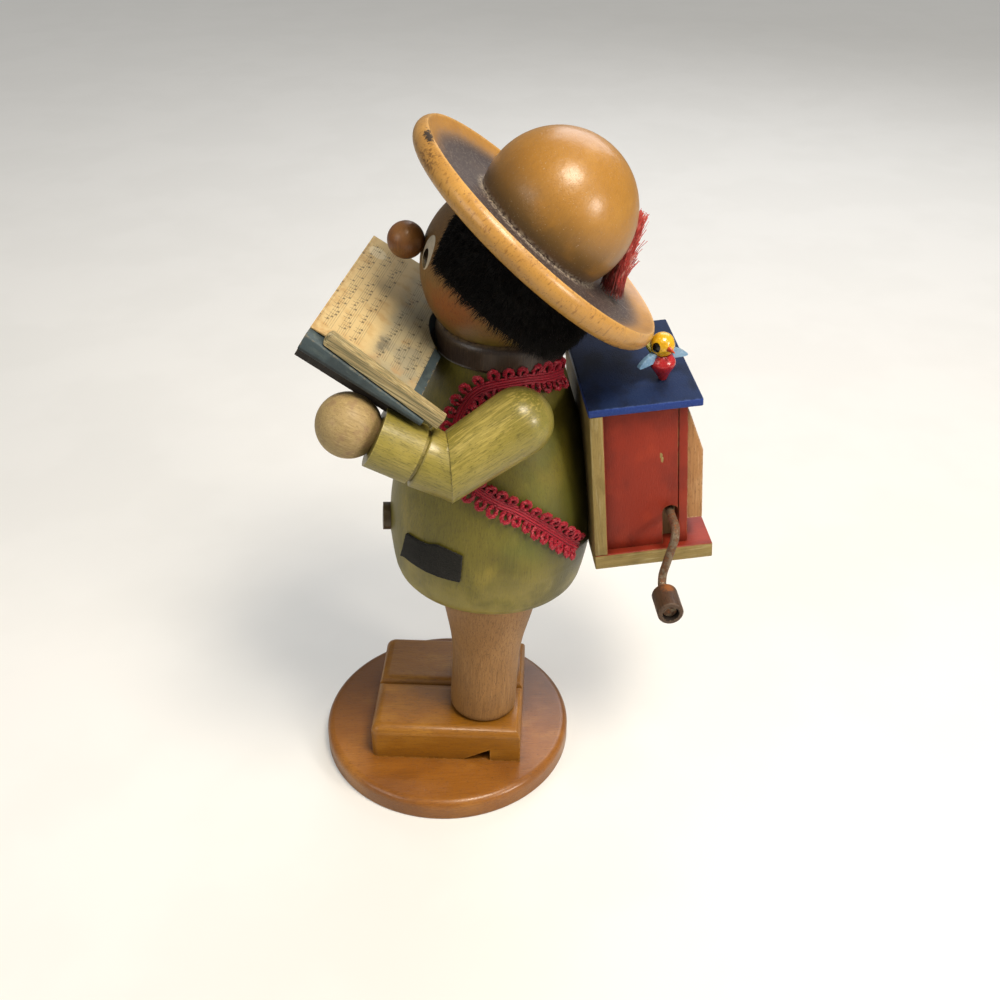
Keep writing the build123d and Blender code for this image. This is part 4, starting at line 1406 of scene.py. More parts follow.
@dataclass
class Head:
    """The head with its painted eyes and sprayed cheeks, the nose, the scarf and the fur."""

    eye: Triple = (5.9, -21.0, 6.0)
    eye_reach: Triple = (2.9, 9.0, 4.7)
    pupil: Triple = (5.6, -21.0, 4.2)
    pupil_reach: Triple = (1.75, 9.0, 2.8)
    head_r: float = 22.55
    fur_top: float = 8.4
    fur_low: float = -7.3
    fur_front: float = 20.5
    fur_front_low: float = 35.5
    fur_front_right: float = 44.0
    fur_r: float = 24.7
    fur_back_r: float = 26.2
    strands: int = 11000
    strand_l: float = 3.2
    strand_r: float = 0.085

    def paint(self) -> Material:
        """The head's stain with cheeks, eyes and a smoked mouth."""
        head = SKIN_HEAD.lay_up(FRAMES.head())
        cheeks = head.spot((15, -15, -5), (13, 13, 9), 0.95, 0.3, 2, mirrored=True)
        head.lay("#93480f", cheeks, 0.68)
        head.lay("#5f2a0f", head.both(cheeks, head.pattern((0.5, 0.5, 0.9), 0.52, 0.66, seed=21)), 0.6)
        head.lay("#73641a", head.both(head.ramp(Measure.Z, -9, -17), head.pattern(6, 0.3, 0.55)), 0.8)
        smoke = head.spot((0, -22, -7), (5.5, 6, 5.0), 0.8, 0.2, 1.2)
        head.lay("#2a1c12", smoke, 0.7, 0.7)
        head.lay("#120c08", head.spot((0, -10, -7), (3.7, 16, 3.7), 0.05), 1.0, 0.9)
        front = head.ramp(Measure.Y, -8, -12)
        white = head.both(head.spot(self.eye, self.eye_reach, 0.06, mirrored=True), front)
        head.lay("#c9c0ad", white, 1.0, 0.35)
        head.lay("#9b917c", head.both(white, head.pattern(1.2, 0.5, 0.7)), 0.35)
        black = head.both(head.spot(self.pupil, self.pupil_reach, 0.08, mirrored=True), front)
        head.lay("#17140f", black, 1.0, 0.22)
        head.lift(white, 0.05)
        head.lift(black, 0.04)
        return SKIN_HEAD.varnish(head)

    def on_fur(self, along: float, up: float) -> Vector:
        """A point of the fur's outer face.

        Args:
            along: From -1 at one temple round the nape to 1 at the other.
            up: From 0 at the lower edge to 1 at the brim.

        Returns:
            The point, in metres.
        """
        front = self.fur_front_low + (self.fur_front - self.fur_front_low) * up
        if along < 0:
            front = self.fur_front_right
        turn = math.radians((180 - front) * along)
        height = self.fur_low + (self.fur_top - self.fur_low) * up
        radius = self.fur_r + (self.fur_back_r - self.fur_r) * (1 - abs(along))
        flat = math.sqrt(radius ** 2 - height ** 2)
        return FRAMES.hat() @ (Vector((flat * math.sin(turn), flat * math.cos(turn), height)) * MM)

    def backing(self) -> Piece:
        """Cuts the fur's backing: a closed band from the head's ball out to the pile's foot."""
        columns, rows = 96, 12
        head = FRAMES.head().translation
        outer = [
            self.on_fur(2 * column / columns - 1, row / rows)
            for row in range(rows + 1) for column in range(columns + 1)
        ]
        inner = [head + (point - head).normalized() * self.head_r * MM for point in outer]
        count = len(outer)
        faces: list[Face] = []
        for row in range(rows):
            for column in range(columns):
                a = row * (columns + 1) + column
                b, c, d = a + 1, a + columns + 2, a + columns + 1
                faces += [(a, b, c, d), (a + count, d + count, c + count, b + count)]
        for column in range(columns):
            top = rows * (columns + 1) + column
            faces += [(column, column + count, column + 1 + count, column + 1)]
            faces += [(top, top + 1, top + 1 + count, top + count)]
        for row in range(rows):
            left, right = row * (columns + 1), row * (columns + 1) + columns
            step = columns + 1
            faces += [(left, left + step, left + step + count, left + count)]
            faces += [(right, right + count, right + step + count, right + step)]
        return self.closed("fur_backing", outer + inner, faces)

    def closed(self, name: str, points: list[Vector], faces: list[Face]) -> Piece:
        """Makes a piece of the fur with its faces turned outward.

        Args:
            name: Its name.
            points: Its points in metres.
            faces: Its faces.

        Returns:
            The piece.
        """
        piece = mesh_piece(name, points, faces)
        edit(piece)
        bpy.ops.mesh.normals_make_consistent(inside=False)
        bpy.ops.object.mode_set(mode="OBJECT")
        bpy.ops.object.shade_smooth_by_angle(angle=math.radians(60))
        return piece

    def fur(self) -> Piece:
        """Combs short strands down and back over the backing, as closed tapered blades."""
        chance = random.Random(23)
        head = FRAMES.head().translation
        down = -(FRAMES.hat().to_3x3() @ Vector((0, 0, 1)))
        points: list[Vector] = []
        faces: list[Face] = []
        for _ in range(self.strands):
            along = chance.uniform(-1, 1)
            root = self.on_fur(along, chance.uniform(0.02, 1) ** 1.15)
            outward = (root - head).normalized()
            comb = (down - outward * down.dot(outward)).normalized()
            drift = noise.noise_vector(root * 260) * 0.5
            wild = Vector((chance.uniform(-1, 1), chance.uniform(-1, 1), chance.uniform(-1, 1))) * 0.3
            length = self.strand_l * chance.uniform(0.55, 1.2) * MM * min(1.0, 0.45 + 12 * (1 - abs(along)))
            first = (outward * 0.75 + comb * 0.6 + drift + wild).normalized()
            second = (outward * 0.2 + comb + drift + wild * 1.3 + Vector((0, 0, -0.2))).normalized()
            bend = root + first * length * 0.5
            tip = bend + second * length * 0.5
            root = root - outward * 0.4 * MM
            side = first.cross(outward).normalized() * self.strand_r * MM
            lift = side.cross(first).normalized() * self.strand_r * MM
            start = len(points)
            for place, share in ((root, 1.0), (bend, 0.8)):
                points += [place + side * share, place - side * share, place + lift * 1.4 * share]
            points.append(tip)
            for k in range(3):
                after = (k + 1) % 3
                faces.append((start + k, start + after, start + 3 + after, start + 3 + k))
                faces.append((start + 3 + k, start + 3 + after, start + 6))
            faces.append((start + 2, start + 1, start))
        return self.closed("fur_strands", points, faces)

    def build(self, nodes: Nodes) -> None:
        """Dresses the head, the nose and the scarf, and makes the fur."""
        dress(nodes["head"], self.paint())
        nose = BROWN_NOSE.lay_up(FRAMES.head())
        # Painted highlight on the top of the nose.
        nose.lay("#c08a4c", nose.facing(Vector((0.5, 0.1, 0.85)), 0.4, 1.0), 0.35)
        dress(nodes["nose"], BROWN_NOSE.varnish(nose))
        scarf = DARK_SCARF.lay_up(FRAMES.figure())
        # Painted highlight: a light line along the scarf's top edge.
        highlight_and_wear = scarf.both(scarf.ramp(Measure.Z, 129.9, 130.6), scarf.pattern(1.5, 0.35, 0.55))
        scarf.lay("#7d6747", highlight_and_wear, 0.5)
        scarf.lay("#8a7458", scarf.pattern((0.14, 0.14, 7.0), 0.66, 0.7, seed=15), 0.5)
        dress(nodes["neck_scarf"], DARK_SCARF.varnish(scarf))
        plush = BLACK_PLUSH.made(FRAMES.hat())
        for piece in (self.backing(), self.fur()):
            stand_for(piece, "figure", "black_fur", plush, "hair")


@dataclass
class Hat:
    """The golden hat with its dusty dish and scorched rim, and the feather tuft."""

    feather_back: float = 26.6
    feather_up: float = 13.2
    feather_l: float = 23.5
    feather_spread: float = 7.2
    feather_deep: float = 3.4
    feather_tip: float = 26.0
    gathered: float = 0.85
    barbs: int = 2300
    barb_steps: int = 5
    barb_sway: float = 1.9

    def varnish(self) -> Material:
        """Yellowed varnish with a dish that darkens towards the crown and holds pale dust, painted shade on
        the crown, painted light on the rim with a painted highlight on its lip, a scorched place and dark
        ticks on the rim.
        """
        hat = GOLDEN_HAT.lay_up(FRAMES.hat())
        rim = hat.ramp(Measure.RADIUS, 38.6, 39.6)
        dish = hat.both(hat.ramp(Measure.RADIUS, 39.4, 33.0), hat.ramp(Measure.Z, 16.8, 14.6))
        # The dish darkens towards the crown's foot.
        hat.lay("#6f5439", hat.both(dish, hat.ramp(Measure.RADIUS, 38.8, 34.0)), 0.8, 0.62)
        deep = hat.both(dish, hat.ramp(Measure.RADIUS, 37.0, 31.0), hat.pattern(6, 0.05, 0.4))
        hat.lay("#3a3031", deep, 0.95, 0.7)
        hat.lay("#8c7f76", hat.both(dish, hat.pattern(0.9, 0.52, 0.66, seed=6)), 0.3, 0.8)
        hat.lay("#c9bfae", hat.both(dish, hat.pattern(0.3, 0.66, 0.7, seed=2)), 0.7, 0.8)
        foot = hat.both(hat.ramp(Measure.RADIUS, 21.4, 19.9), hat.ramp(Measure.Z, 14.4, 13.2))
        hat.lay("#b7aa96", hat.both(foot, hat.pattern(0.8, 0.4, 0.6, seed=12)), 0.6, 0.8)
        crown = hat.both(hat.ramp(Measure.RADIUS, 21.4, 20.9), hat.ramp(Measure.Z, 13.0, 15.0))
        shaded = hat.both(crown, hat.ramp(Measure.Z, 29.0, 15.0), hat.pattern(9, 0.15, 0.55))
        # Painted shade: the whole crown is laid darker, and shaded adds more painted shade low on the crown.
        hat.lay("#93692c", crown, 0.45)
        hat.lay("#5c4a2b", shaded, 0.85, 0.48)
        # Painted light: the rim is laid lighter.
        hat.lay("#d4a55c", rim, 0.35)
        # Painted highlight along the rim's lip edge.
        hat.lay("#e0b56e", hat.both(hat.edges(1.2), rim), 0.55)
        hat.lay("#7a4a1c", hat.both(rim, hat.pattern((0.8, 0.8, 2.0), 0.56, 0.68, seed=17)), 0.5)
        hat.lay("#3a2110", hat.both(rim, hat.pattern((0.3, 0.3, 0.5), 0.65, 0.7, seed=19)), 0.7)
        scorch = hat.spot((16.0, -38.0, 12.5), (9.0, 4.0, 3.4), 0.9, 0.5, 1.0)
        hat.lay("#4a2a12", hat.both(scorch, hat.pattern(0.8, 0.45, 0.58, seed=31)), 0.75, 0.6)
        hat.lay("#15100c", hat.spot((8.5, -39.4, 15.0), (4.8, 1.7, 1.3), 0.5, 0.6, 0.7), 0.95, 0.7)
        hat.lay("#c3b59a", hat.both(crown, hat.pattern(0.35, 0.68, 0.71, seed=4)), 0.5)
        return GOLDEN_HAT.varnish(hat)

    def tuft(self) -> Piece:
        """Draws the feather's barbs: fine, limp, gathered at the tip and spread at the foot."""
        chance = random.Random(5)
        frame = FRAMES.hat() @ Matrix.Translation(Vector((0, self.feather_back, self.feather_up)) * MM)
        frame = frame @ Matrix.Rotation(math.radians(self.feather_tip), 4, "X")
        points: list[Vector] = []
        faces: list[Face] = []
        for _ in range(self.barbs):
            around = chance.uniform(0, 2 * math.pi)
            out = math.sqrt(chance.random())
            wide, deep = out * self.feather_spread, out * self.feather_deep
            foot = Vector((math.cos(around) * wide, math.sin(around) * deep, 0))
            length = self.feather_l * chance.uniform(0.35, 0.98)
            start_up = chance.uniform(0, 0.35) * self.feather_l
            stray = Vector((chance.gauss(0, 0.7), chance.gauss(0.3, 0.8), 0))
            path = []
            for step in range(self.barb_steps + 1):
                share = step / self.barb_steps
                up = start_up + (length - start_up) * share
                narrow = 1 - self.gathered * (up / self.feather_l) ** 0.7
                sway = noise.noise_vector(Vector((foot.x, foot.y, up * 0.11)) * 0.8) * self.barb_sway * share
                drop = -0.35 * math.sin(share * 3) * chance.uniform(0.4, 1.0)
                bent = Vector((foot.x * narrow, foot.y * narrow + drop, up)) + stray * share ** 2
                bent += Vector((sway.x, sway.y, 0))
                path.append(frame @ (bent * MM))
            sweep(points, faces, path, 3, 0.05 + 0.05 * chance.random())
        piece = mesh_piece("feather_tuft", points, faces)
        activate(piece)
        bpy.ops.object.shade_smooth()
        return piece

    def build(self, nodes: Nodes) -> None:
        """Dresses the hat and makes the feather."""
        dress(nodes["hat"], self.varnish())
        down = DYED_DOWN.lay_up(FRAMES.hat())
        quill = down.both(down.ramp(Measure.Z, 24, 14), down.pattern(2, 0.35, 0.6, seed=3))
        down.lay("#6e1a18", quill, 0.6)
        ends = down.both(down.ramp(Measure.Y, 27, 30.5), down.pattern(1, 0.35, 0.55, seed=9))
        down.lay("#e6cfc6", ends, 0.75)
        stand_for(self.tuft(), "figure", "red_feather", DYED_DOWN.closed(down), "hat_feather")


@dataclass(frozen=True)
class Forearm:
    """A forearm: its joints as left-hand places under the neck, and how far its cuff is drawn back."""

    side: Side
    elbow: Triple
    wrist: Triple
    longer: float

    def length(self) -> float:
        """How long it is from joint to joint."""
        return (Vector(self.wrist) - Vector(self.elbow)).length


@dataclass
class Arms:
    """The stained arms with their cuffs, and the bare hands."""

    shoulder: Triple = (28.0, 2.6, -8.0)
    left: Forearm = Forearm(Side.LEFT, (32.0, -15.3, -19.5), (30.0, -34.4, -11.2), 7.6)
    right: Forearm = Forearm(Side.RIGHT, (35.0, -10.3, -25.0), (30.5, -24.2, -10.4), 3.5)
    cuff_l: float = 4.0
    mitre_room: float = 1.0
    elbow_fill: float = 1.17
    sleeve_r: float = 7.9
    sleeve_fill: float = 1.035

    def along(self, first: Triple, second: Triple, side: Side) -> Matrix:
        """A frame whose z runs from one joint of an arm to the next.

        Args:
            first: The first joint, as a left-hand place.
            second: The second joint.
            side: The figure's side.

        Returns:
            The frame.
        """
        start = FRAMES.at(side.value * first[0], first[1], FRAMES.neck_up + first[2])
        end = FRAMES.at(side.value * second[0], second[1], FRAMES.neck_up + second[2])
        z_dir = (end - start).normalized()
        return frame_matrix(start, z_dir.orthogonal(), z_dir)

    def longer_cuff(self, arm: Forearm) -> Mover:
        """How a forearm's points move: the cuff reaches back as far as the elbow's mitre leaves room.

        Args:
            arm: The forearm.

        Returns:
            The move, in the forearm's frame.
        """
        step_at = arm.length() - self.cuff_l
        mitre_end = step_at - arm.longer - self.mitre_room

        def move(place: Vector) -> Vector:
            """Moves a point that lies on the step, and fills the sleeve out to the elbow's round."""
            if place.z < mitre_end:
                return place * self.elbow_fill
            if abs(place.z - step_at) > 0.1:
                return place
            wider = self.sleeve_fill if math.hypot(place.x, place.y) < self.sleeve_r else 1.0
            return Vector((place.x * wider, place.y * wider, place.z - arm.longer))

        return move

    def build(self, nodes: Nodes) -> None:
        """Dresses the upper arms, forearms and hands, each with its grain along it."""
        for arm in (self.left, self.right):
            side = arm.side
            upper = OLIVE_SLEEVE.lay_up(self.along(self.shoulder, arm.elbow, side))
            upper.lay("#5d6b28", upper.spot((0, 0, -4), (12, 12, 9), 0.8, 0.2, 3), 0.4)
            # Painted highlight on the faces of the upper arm that look up.
            highlight_and_wear = upper.both(upper.facing(Vector((0.2, -0.3, 1))), upper.pattern((0.6, 0.6, 6), 0.5, 0.62))
            upper.lay("#cbb765", highlight_and_wear, 0.45)
            dress(nodes[side.named("upper_arm")], OLIVE_SLEEVE.varnish(upper))
            frame = self.along(arm.elbow, arm.wrist, side)
            lower = OLIVE_SLEEVE.lay_up(frame)
            lower.lay("#c4b372", lower.both(lower.edges(0.5), lower.pattern(1, 0.4, 0.6)), 0.5)
            node = nodes[side.named("forearm")]
            sleeve = reworked(node, side.named("cuffed_forearm"), frame, self.longer_cuff(arm))
            stain = OLIVE_SLEEVE.varnish(lower)
            stand_for(sleeve, "figure", "green_stained_wood", stain, side.named("forearm"))
            hand = BARE_HAND.lay_up(frame)
            hand.lay("#8a6a55", hand.pattern(2.2, 0.5, 0.68, seed=6), 0.4)
            dress(nodes[side.named("hand")], BARE_HAND.varnish(hand))


@dataclass
class SongBook:
    """The song book: a printed sheet on a page block and a cover board, with the pointing stick."""

    sheet_half_w: float = 27.85
    near_draw: float = 0.3
    strip_up: float = 2.6
    strip_out: float = 0.2
    ledge_low: Triple = (27.3, -14.85, -5.38)
    ledge_high: Triple = (31.8, 21.0, -0.5)
    ledge_foot: float = -3.7
    ledge_edge: float = 0.35
    staff_pitch: float = 3.9
    staff_middle: float = 0.1
    line_gap: float = 0.55
    note_pitch: float = 1.7
    margin: float = 24.5

    def drawn(self, place: Vector) -> Vector:
        """Draws a point of the sheet's near half out to the strip."""
        return place + Vector((self.near_draw * max(place.x, 0) / self.sheet_half_w, 0, 0))

    def raised(self, place: Vector) -> Vector:
        """Lays a point of the pointing stick up on the ledge."""
        return place + Vector((self.strip_out, 0, self.strip_up))

    def ledge(self) -> Piece:
        """The ledge of the block that the strip lies on, planed down towards its foot."""
        piece = board("page_ledge", FRAMES.book(), self.ledge_low, self.ledge_high, self.ledge_edge)
        to_book = FRAMES.book().inverted() @ piece.matrix_world
        for vertex in piece.data.vertices:
            place = to_book @ vertex.co / MM
            if place.y > 0 and place.z > self.ledge_foot:
                vertex.co = to_book.inverted() @ (Vector((place.x, place.y, self.ledge_foot)) * MM)
        return settle(piece)

    def print_music(self, paper: Surface) -> Socket:
        """Prints generic staves with random note marks on them.

        Args:
            paper: The sheet's surface, whose x runs along the staves.

        Returns:
            The ink's mask.
        """
        axes = paper.add("SeparateXYZ", None, {0: paper.local})
        parts: dict[str, Socket] = {"across": axes.outputs[0], "down": axes.outputs[1]}

        def work(*steps: tuple) -> None:
            """Works out parts one by one, each a name, an operation and its numbers or earlier parts."""
            for name, operation, *values in steps:
                inputs = {index: parts.get(value, value) for index, value in enumerate(values)}
                parts[name] = paper.add("Math", {"operation": operation}, inputs).outputs[0]

        def sharp(part: str, start: float, full: float) -> Socket:
            """A mask that is 0 where a part is start and 1 where it is full."""
            return paper.fade(parts[part], start, full, "LINEAR")

        work(
            ("shifted", "SUBTRACT", "down", self.staff_middle),
            ("rows", "DIVIDE", "shifted", self.staff_pitch),
            ("row", "ROUND", "rows"),
            ("part", "SUBTRACT", "rows", "row"),
            ("high", "MULTIPLY", "part", self.staff_pitch),
            ("tall", "ABSOLUTE", "high"),
            ("gaps", "DIVIDE", "high", self.line_gap),
            ("nearest", "ROUND", "gaps"),
            ("signed", "SUBTRACT", "gaps", "nearest"),
            ("off_line", "ABSOLUTE", "signed"),
            ("cells", "DIVIDE", "across", self.note_pitch),
            ("cell", "FLOOR", "cells"),
            ("inner", "SUBTRACT", "cells", "cell"),
            ("sideways", "MULTIPLY_ADD", "inner", self.note_pitch, -0.6),
        )
        parts["lines"] = paper.both(sharp("off_line", 0.2, 0.08), sharp("tall", 1.3, 1.2))
        key = paper.add("CombineXYZ", None, {0: parts["cell"], 1: parts["row"], 2: 0.5}).outputs[0]
        chance = paper.add("TexWhiteNoise", {"noise_dimensions": "3D"}, {"Vector": key})
        parts["chance"] = chance.outputs[0]
        work(
            ("pitch", "MULTIPLY_ADD", "chance", 2.2, -1.1),
            ("above", "SUBTRACT", "high", "pitch"),
            ("beside", "SUBTRACT", "sideways", 0.38),
            ("stem_off", "ABSOLUTE", "beside"),
        )
        oval = paper.add("CombineXYZ", None, {0: parts["sideways"], 1: parts["above"], 2: 0.0}).outputs[0]
        oval = paper.add("VectorMath", {"operation": "MULTIPLY"}, {0: oval, 1: (2.2, 3.0, 0.0)}).outputs[0]
        parts["size"] = paper.add("VectorMath", {"operation": "LENGTH"}, {0: oval}).outputs[1]
        parts["heads"] = sharp("size", 1.15, 0.8)
        parts["stems"] = paper.both(
            sharp("stem_off", 0.14, 0.07), sharp("above", -1.75, -1.65), sharp("above", 0.1, 0.0)
        )
        parts["tint"] = paper.add("SeparateColor", None, {0: chance.outputs[1]}).outputs[1]
        work(("marks", "MAXIMUM", "heads", "stems"), ("there", "GREATER_THAN", "tint", 0.3))
        parts["notes"] = paper.both(parts["marks"], parts["there"])
        work(
            ("pale", "MULTIPLY", "lines", 0.55),
            ("ink", "MAXIMUM", "pale", "notes"),
            ("far", "ABSOLUTE", "row"),
            ("blank", "GREATER_THAN", "far", 0.5),
            ("width", "ABSOLUTE", "across"),
        )
        return paper.both(parts["ink"], parts["blank"], sharp("width", self.margin, self.margin - 0.2))

    def paper(self) -> Material:
        """The sheet's print, foxed at the near edge, with painted shade greying its lower half and darkening
        its underside.
        """
        paper = RAG_PAPER.lay_up(FRAMES.book())
        # Painted shade: the sheet's lower half is greyed, with grey mottling in it.
        lower = paper.ramp(Measure.Y, -1.5, 3.5)
        paper.lay("#a39c80", lower, 0.7)
        paper.lay("#b08a4f", paper.pattern(5, 0.5, 0.72), 0.5)
        paper.lay("#8b8a7a", paper.both(lower, paper.pattern(7, 0.4, 0.65, seed=4)), 0.5)
        foxed = paper.both(paper.ramp(Measure.X, 19, 28), paper.pattern(3.5, 0.4, 0.66))
        paper.lay("#b07c42", foxed, 0.5)
        browned = paper.both(paper.ramp(Measure.Y, -12.5, -14.8), paper.pattern(2, 0.35, 0.6))
        paper.lay("#98703c", browned, 0.5)
        paper.lay("#ddd0ab", paper.spot((-20.5, -11.2, 0), (3.1, 3.1, 4), 0.25, 0.1), 0.8)
        paper.lay("#4a4c48", paper.spot((18, 2.4, 0), (5.5, 2.6, 3), 0.9, 0.5, 1.5), 0.7)
        ink = paper.both(self.print_music(paper), paper.pattern(1.5, 0.2, 0.5, seed=6))
        paper.lay("#3d3a30", ink, 0.72)
        paper.lay("#6d5a3a", paper.pattern(0.3, 0.64, 0.7, seed=2), 0.3)
        # Painted shade on the sheet's underside.
        under = paper.both(paper.ramp(Measure.Z, -0.15, -0.3), paper.pattern(1, 0.3, 0.6))
        paper.lay("#33281a", under, 0.5)
        paper.lift(paper.pattern(0.35, 0.3, 0.7, seed=8), 0.02)
        return RAG_PAPER.closed(paper)

    def build(self, nodes: Nodes) -> None:
        """Makes the sheet, the ledge and the strip, and dresses them, the block and the cover."""
        book = FRAMES.book()
        sheet = reworked(nodes["song_sheet"], "printed_sheet", book, self.drawn, smooth=20)
        stand_for(sheet, "figure", "printed_paper", self.paper(), "song_sheet")
        block = BLOCK_DISTEMPER.lay_up(book)
        chips = block.both(block.edges(0.5), block.pattern(1.1, 0.5, 0.6, seed=2))
        block.lay("#a38c5f", chips, 0.8, 0.7)
        # Painted shadow: the block's lowest edge is laid near black, as the gap above the cover.
        block.lay("#0d0d0d", block.ramp(Measure.Z, -4.2, -4.7), 0.6)
        distemper = BLOCK_DISTEMPER.closed(block)
        dress(nodes["page_block"], distemper)
        stand_for(self.ledge(), "figure", "page_block_wood", distemper)
        cover = COVER_DISTEMPER.lay_up(book)
        # Wear: the cover's edges are rubbed lighter.
        highlight_and_wear = cover.both(cover.edges(0.4), cover.pattern(0.9, 0.5, 0.62))
        cover.lay("#6e5a3e", highlight_and_wear, 0.7)
        cover.lay("#3d352b", cover.pattern((0.4, 0.4, 2.0), 0.55, 0.68, seed=4), 0.5)
        dress(nodes["book_cover"], COVER_DISTEMPER.closed(cover))
        pine = PINE_STRIP.lay_up(book @ Matrix.Rotation(math.radians(90), 4, "X"))
        # Painted shade in the strip's nooks.
        pine.lay("#4f4a34", pine.nooks(1.5), 0.5)
        strip = reworked(nodes["pointing_stick"], "pine_strip", book, self.raised)
        stand_for(strip, "figure", "stick_wood", PINE_STRIP.closed(pine), "pointing_stick")


@dataclass
class Organ:
    """The barrel organ: boards with broken edges, the fluted pipe front and the crank."""

    half_w: float = 24.5
    deep: float = 33.8
    base_t: float = 4.8
    back_t: float = 3.7
    box_half_w: float = 22.0
    side_t: float = 2.5
    side_deep: float = 24.3
    front_gap: float = 0.2
    front_t: float = 2.5
    top: float = 50.0
    roof_t: float = 2.4
    roof_deep: float = 30.5
    roof_over: float = 0.2
    crank_out: float = 22.2
    slot_half_w: float = 2.3
    slot_arch_up: float = 15.4
    slot_through: float = 12.0
    sleeve_start: Triple = (36.7, 60.28, 82.13)
    chips: tuple[Triple, ...] = ((22.0, 19.6, 34.5), (22.0, 19.9, 33.2))

    def side_board(self, side: Side) -> Piece:
        """Saws a side panel, the left one with the crank's slot.

        Args:
            side: The figure's side.

        Returns:
            The panel.
        """
        inner = side.value * (self.box_half_w - self.side_t)
        outer = side.value * self.box_half_w
        low = (min(inner, outer), self.back_t, self.base_t)
        high = (max(inner, outer), self.side_deep, self.top)
        piece = board(side.named("panel"), FRAMES.organ(), low, high, 0.25)
        if side is Side.LEFT:
            cutter = self.slot_cutter()
            cut = piece.modifiers.new("slot", "BOOLEAN")
            cut.object = cutter
            cut.solver = "EXACT"
            activate(piece)
            bpy.ops.object.modifier_move_to_index(modifier="slot", index=0)
            bpy.ops.object.modifier_apply(modifier="slot")
            bpy.data.objects.remove(cutter)
        return settle(piece)

    def slot_cutter(self) -> Piece:
        """A round-headed bar that cuts the crank's slot."""
        deselect()
        bpy.ops.mesh.primitive_cylinder_add(
            vertices=48, radius=self.slot_half_w * MM, depth=self.slot_through * MM
        )
        bar = bpy.context.object
        bpy.ops.object.mode_set(mode="EDIT")
        bpy.ops.mesh.select_all(action="DESELECT")
        bpy.ops.object.mode_set(mode="OBJECT")
        for vertex in bar.data.vertices:
            vertex.select = vertex.co.y < -1e-6
        bpy.ops.object.mode_set(mode="EDIT")
        bpy.ops.transform.resize(value=(1, 0, 1), center_override=(0, 0, 0))
        bpy.ops.transform.translate(value=(0, -self.slot_arch_up * MM, 0))
        bpy.ops.object.mode_set(mode="OBJECT")
        place = Matrix.Translation(Vector((self.box_half_w, self.crank_out, self.slot_arch_up)) * MM)
        upright = Matrix(((0, 0, 1, 0), (1, 0, 0, 0), (0, 1, 0, 0), (0, 0, 0, 1)))
        bar.matrix_world = FRAMES.organ() @ place @ upright
        return bar

    def build(self, nodes: Nodes) -> None:
        """Makes the boards, and dresses the pipes, the crank and its sleeve."""
        frame = FRAMES.organ()
        up = frame.to_3x3() @ Vector((0, 0, 1))
        out = frame.to_3x3() @ Vector((0, 1, 0))
        left = Vector((1, 0, 0))
        base = board("organ_floor_board", frame, (-self.half_w, 0, 0), (self.half_w, self.deep, self.base_t))
        lengthwise = frame @ Matrix.Rotation(math.radians(90), 4, "X")
        red = RED_BOARD.made(lengthwise, [up])
        stand_for(settle(base), "figure", "gold_edged_wood", red, "organ_base")
        low, high = (-self.half_w, 0, self.base_t), (self.half_w, self.back_t, self.top)
        back = board("organ_backboard", frame, low, high, 0.3)
        red = RED_BOARD.made(frame, [out])
        stand_for(settle(back), "figure", "gold_edged_wood", red, "organ_back_board")
        all_round = [left, -left, out, -out, up]
        for side in Side:
            red = RED_BOARD.made(frame, all_round, self.chips if side is Side.LEFT else ())
            node = "organ_" + side.named("side")
            stand_for(self.side_board(side), "figure", "red_painted_wood", red, node)
        near = self.side_deep + self.front_gap
        low = (-self.box_half_w, near, self.base_t)
        high = (self.box_half_w, near + self.front_t, self.top)
        front = board("organ_frontboard", frame, low, high, 0.25)
        red = RED_BOARD.made(frame, all_round)
        stand_for(settle(front), "figure", "red_painted_wood", red, "organ_front_board")
        low = (-self.half_w, -self.roof_over, self.top)
        high = (self.half_w, self.roof_deep, self.top + self.roof_t)
        roof = board("organ_roof_board", frame, low, high, 0.45)
        stand_for(settle(roof), "figure", "blue_painted_wood", self.roof_paint(frame, up), "organ_roof")
        pipes = FLUTED_PINE.lay_up(frame)
        pipes.lay("#d9c3a2", pipes.both(pipes.edges(0.8), pipes.pattern(0.6, 0.4, 0.6)), 0.6)
        dress(nodes["organ_pipes"], FLUTED_PINE.varnish(pipes))
        dress(nodes["crank_wire"], self.rust(frame))
        dress(nodes["crank_sleeve"], self.rusted_sleeve())

    def roof_paint(self, frame: Matrix, up: Vector) -> Material:
        """Blue paint, dusty on top with painted shade there, and bright along the sawn edges."""
        roof = BLUE_ROOF.lay_up(frame @ Matrix.Rotation(math.radians(90), 4, "Y"))
        top = roof.facing(up, 0.5, 0.8)
        # Painted shade: the top face is laid darker, in dark patches too.
        roof.lay("#14284f", top, 1.0, 0.72)
        roof.lay("#0c1529", roof.both(top, roof.pattern((6, 6, 9), 0.42, 0.68)), 0.6)
        dust = roof.both(top, roof.pattern(0.4, 0.56, 0.68, seed=3))
        roof.lay("#33405c", dust, 0.45, 0.8)
        roof.lay("#5a75b8", roof.both(roof.edges(0.5), roof.pattern(1.2, 0.42, 0.6)), 0.5)
        return BLUE_ROOF.closed(roof)

    def rust(self, frame: Matrix) -> Material:
        """The wire with its patches of rust, which aren't metallic."""
        wire = STEEL_WIRE.lay_up(frame)
        scale = wire.pattern(1.6, 0.42, 0.58)
        wire.lay("#5f4029", scale, 0.9, 0.75)
        bright = wire.both(scale, wire.pattern(0.6, 0.5, 0.64, seed=4))
        wire.lay("#8c5226", bright, 0.8, 0.85)
        wire.lay("#3a2a1e", wire.pattern(0.5, 0.6, 0.68, seed=7), 0.6)
        bare = wire.outside(scale)
        metal = wire.add("Math", {"operation": "MULTIPLY"}, {0: bare, 1: 0.7}).outputs[0]
        return STEEL_WIRE.closed(wire, Metallic=metal)

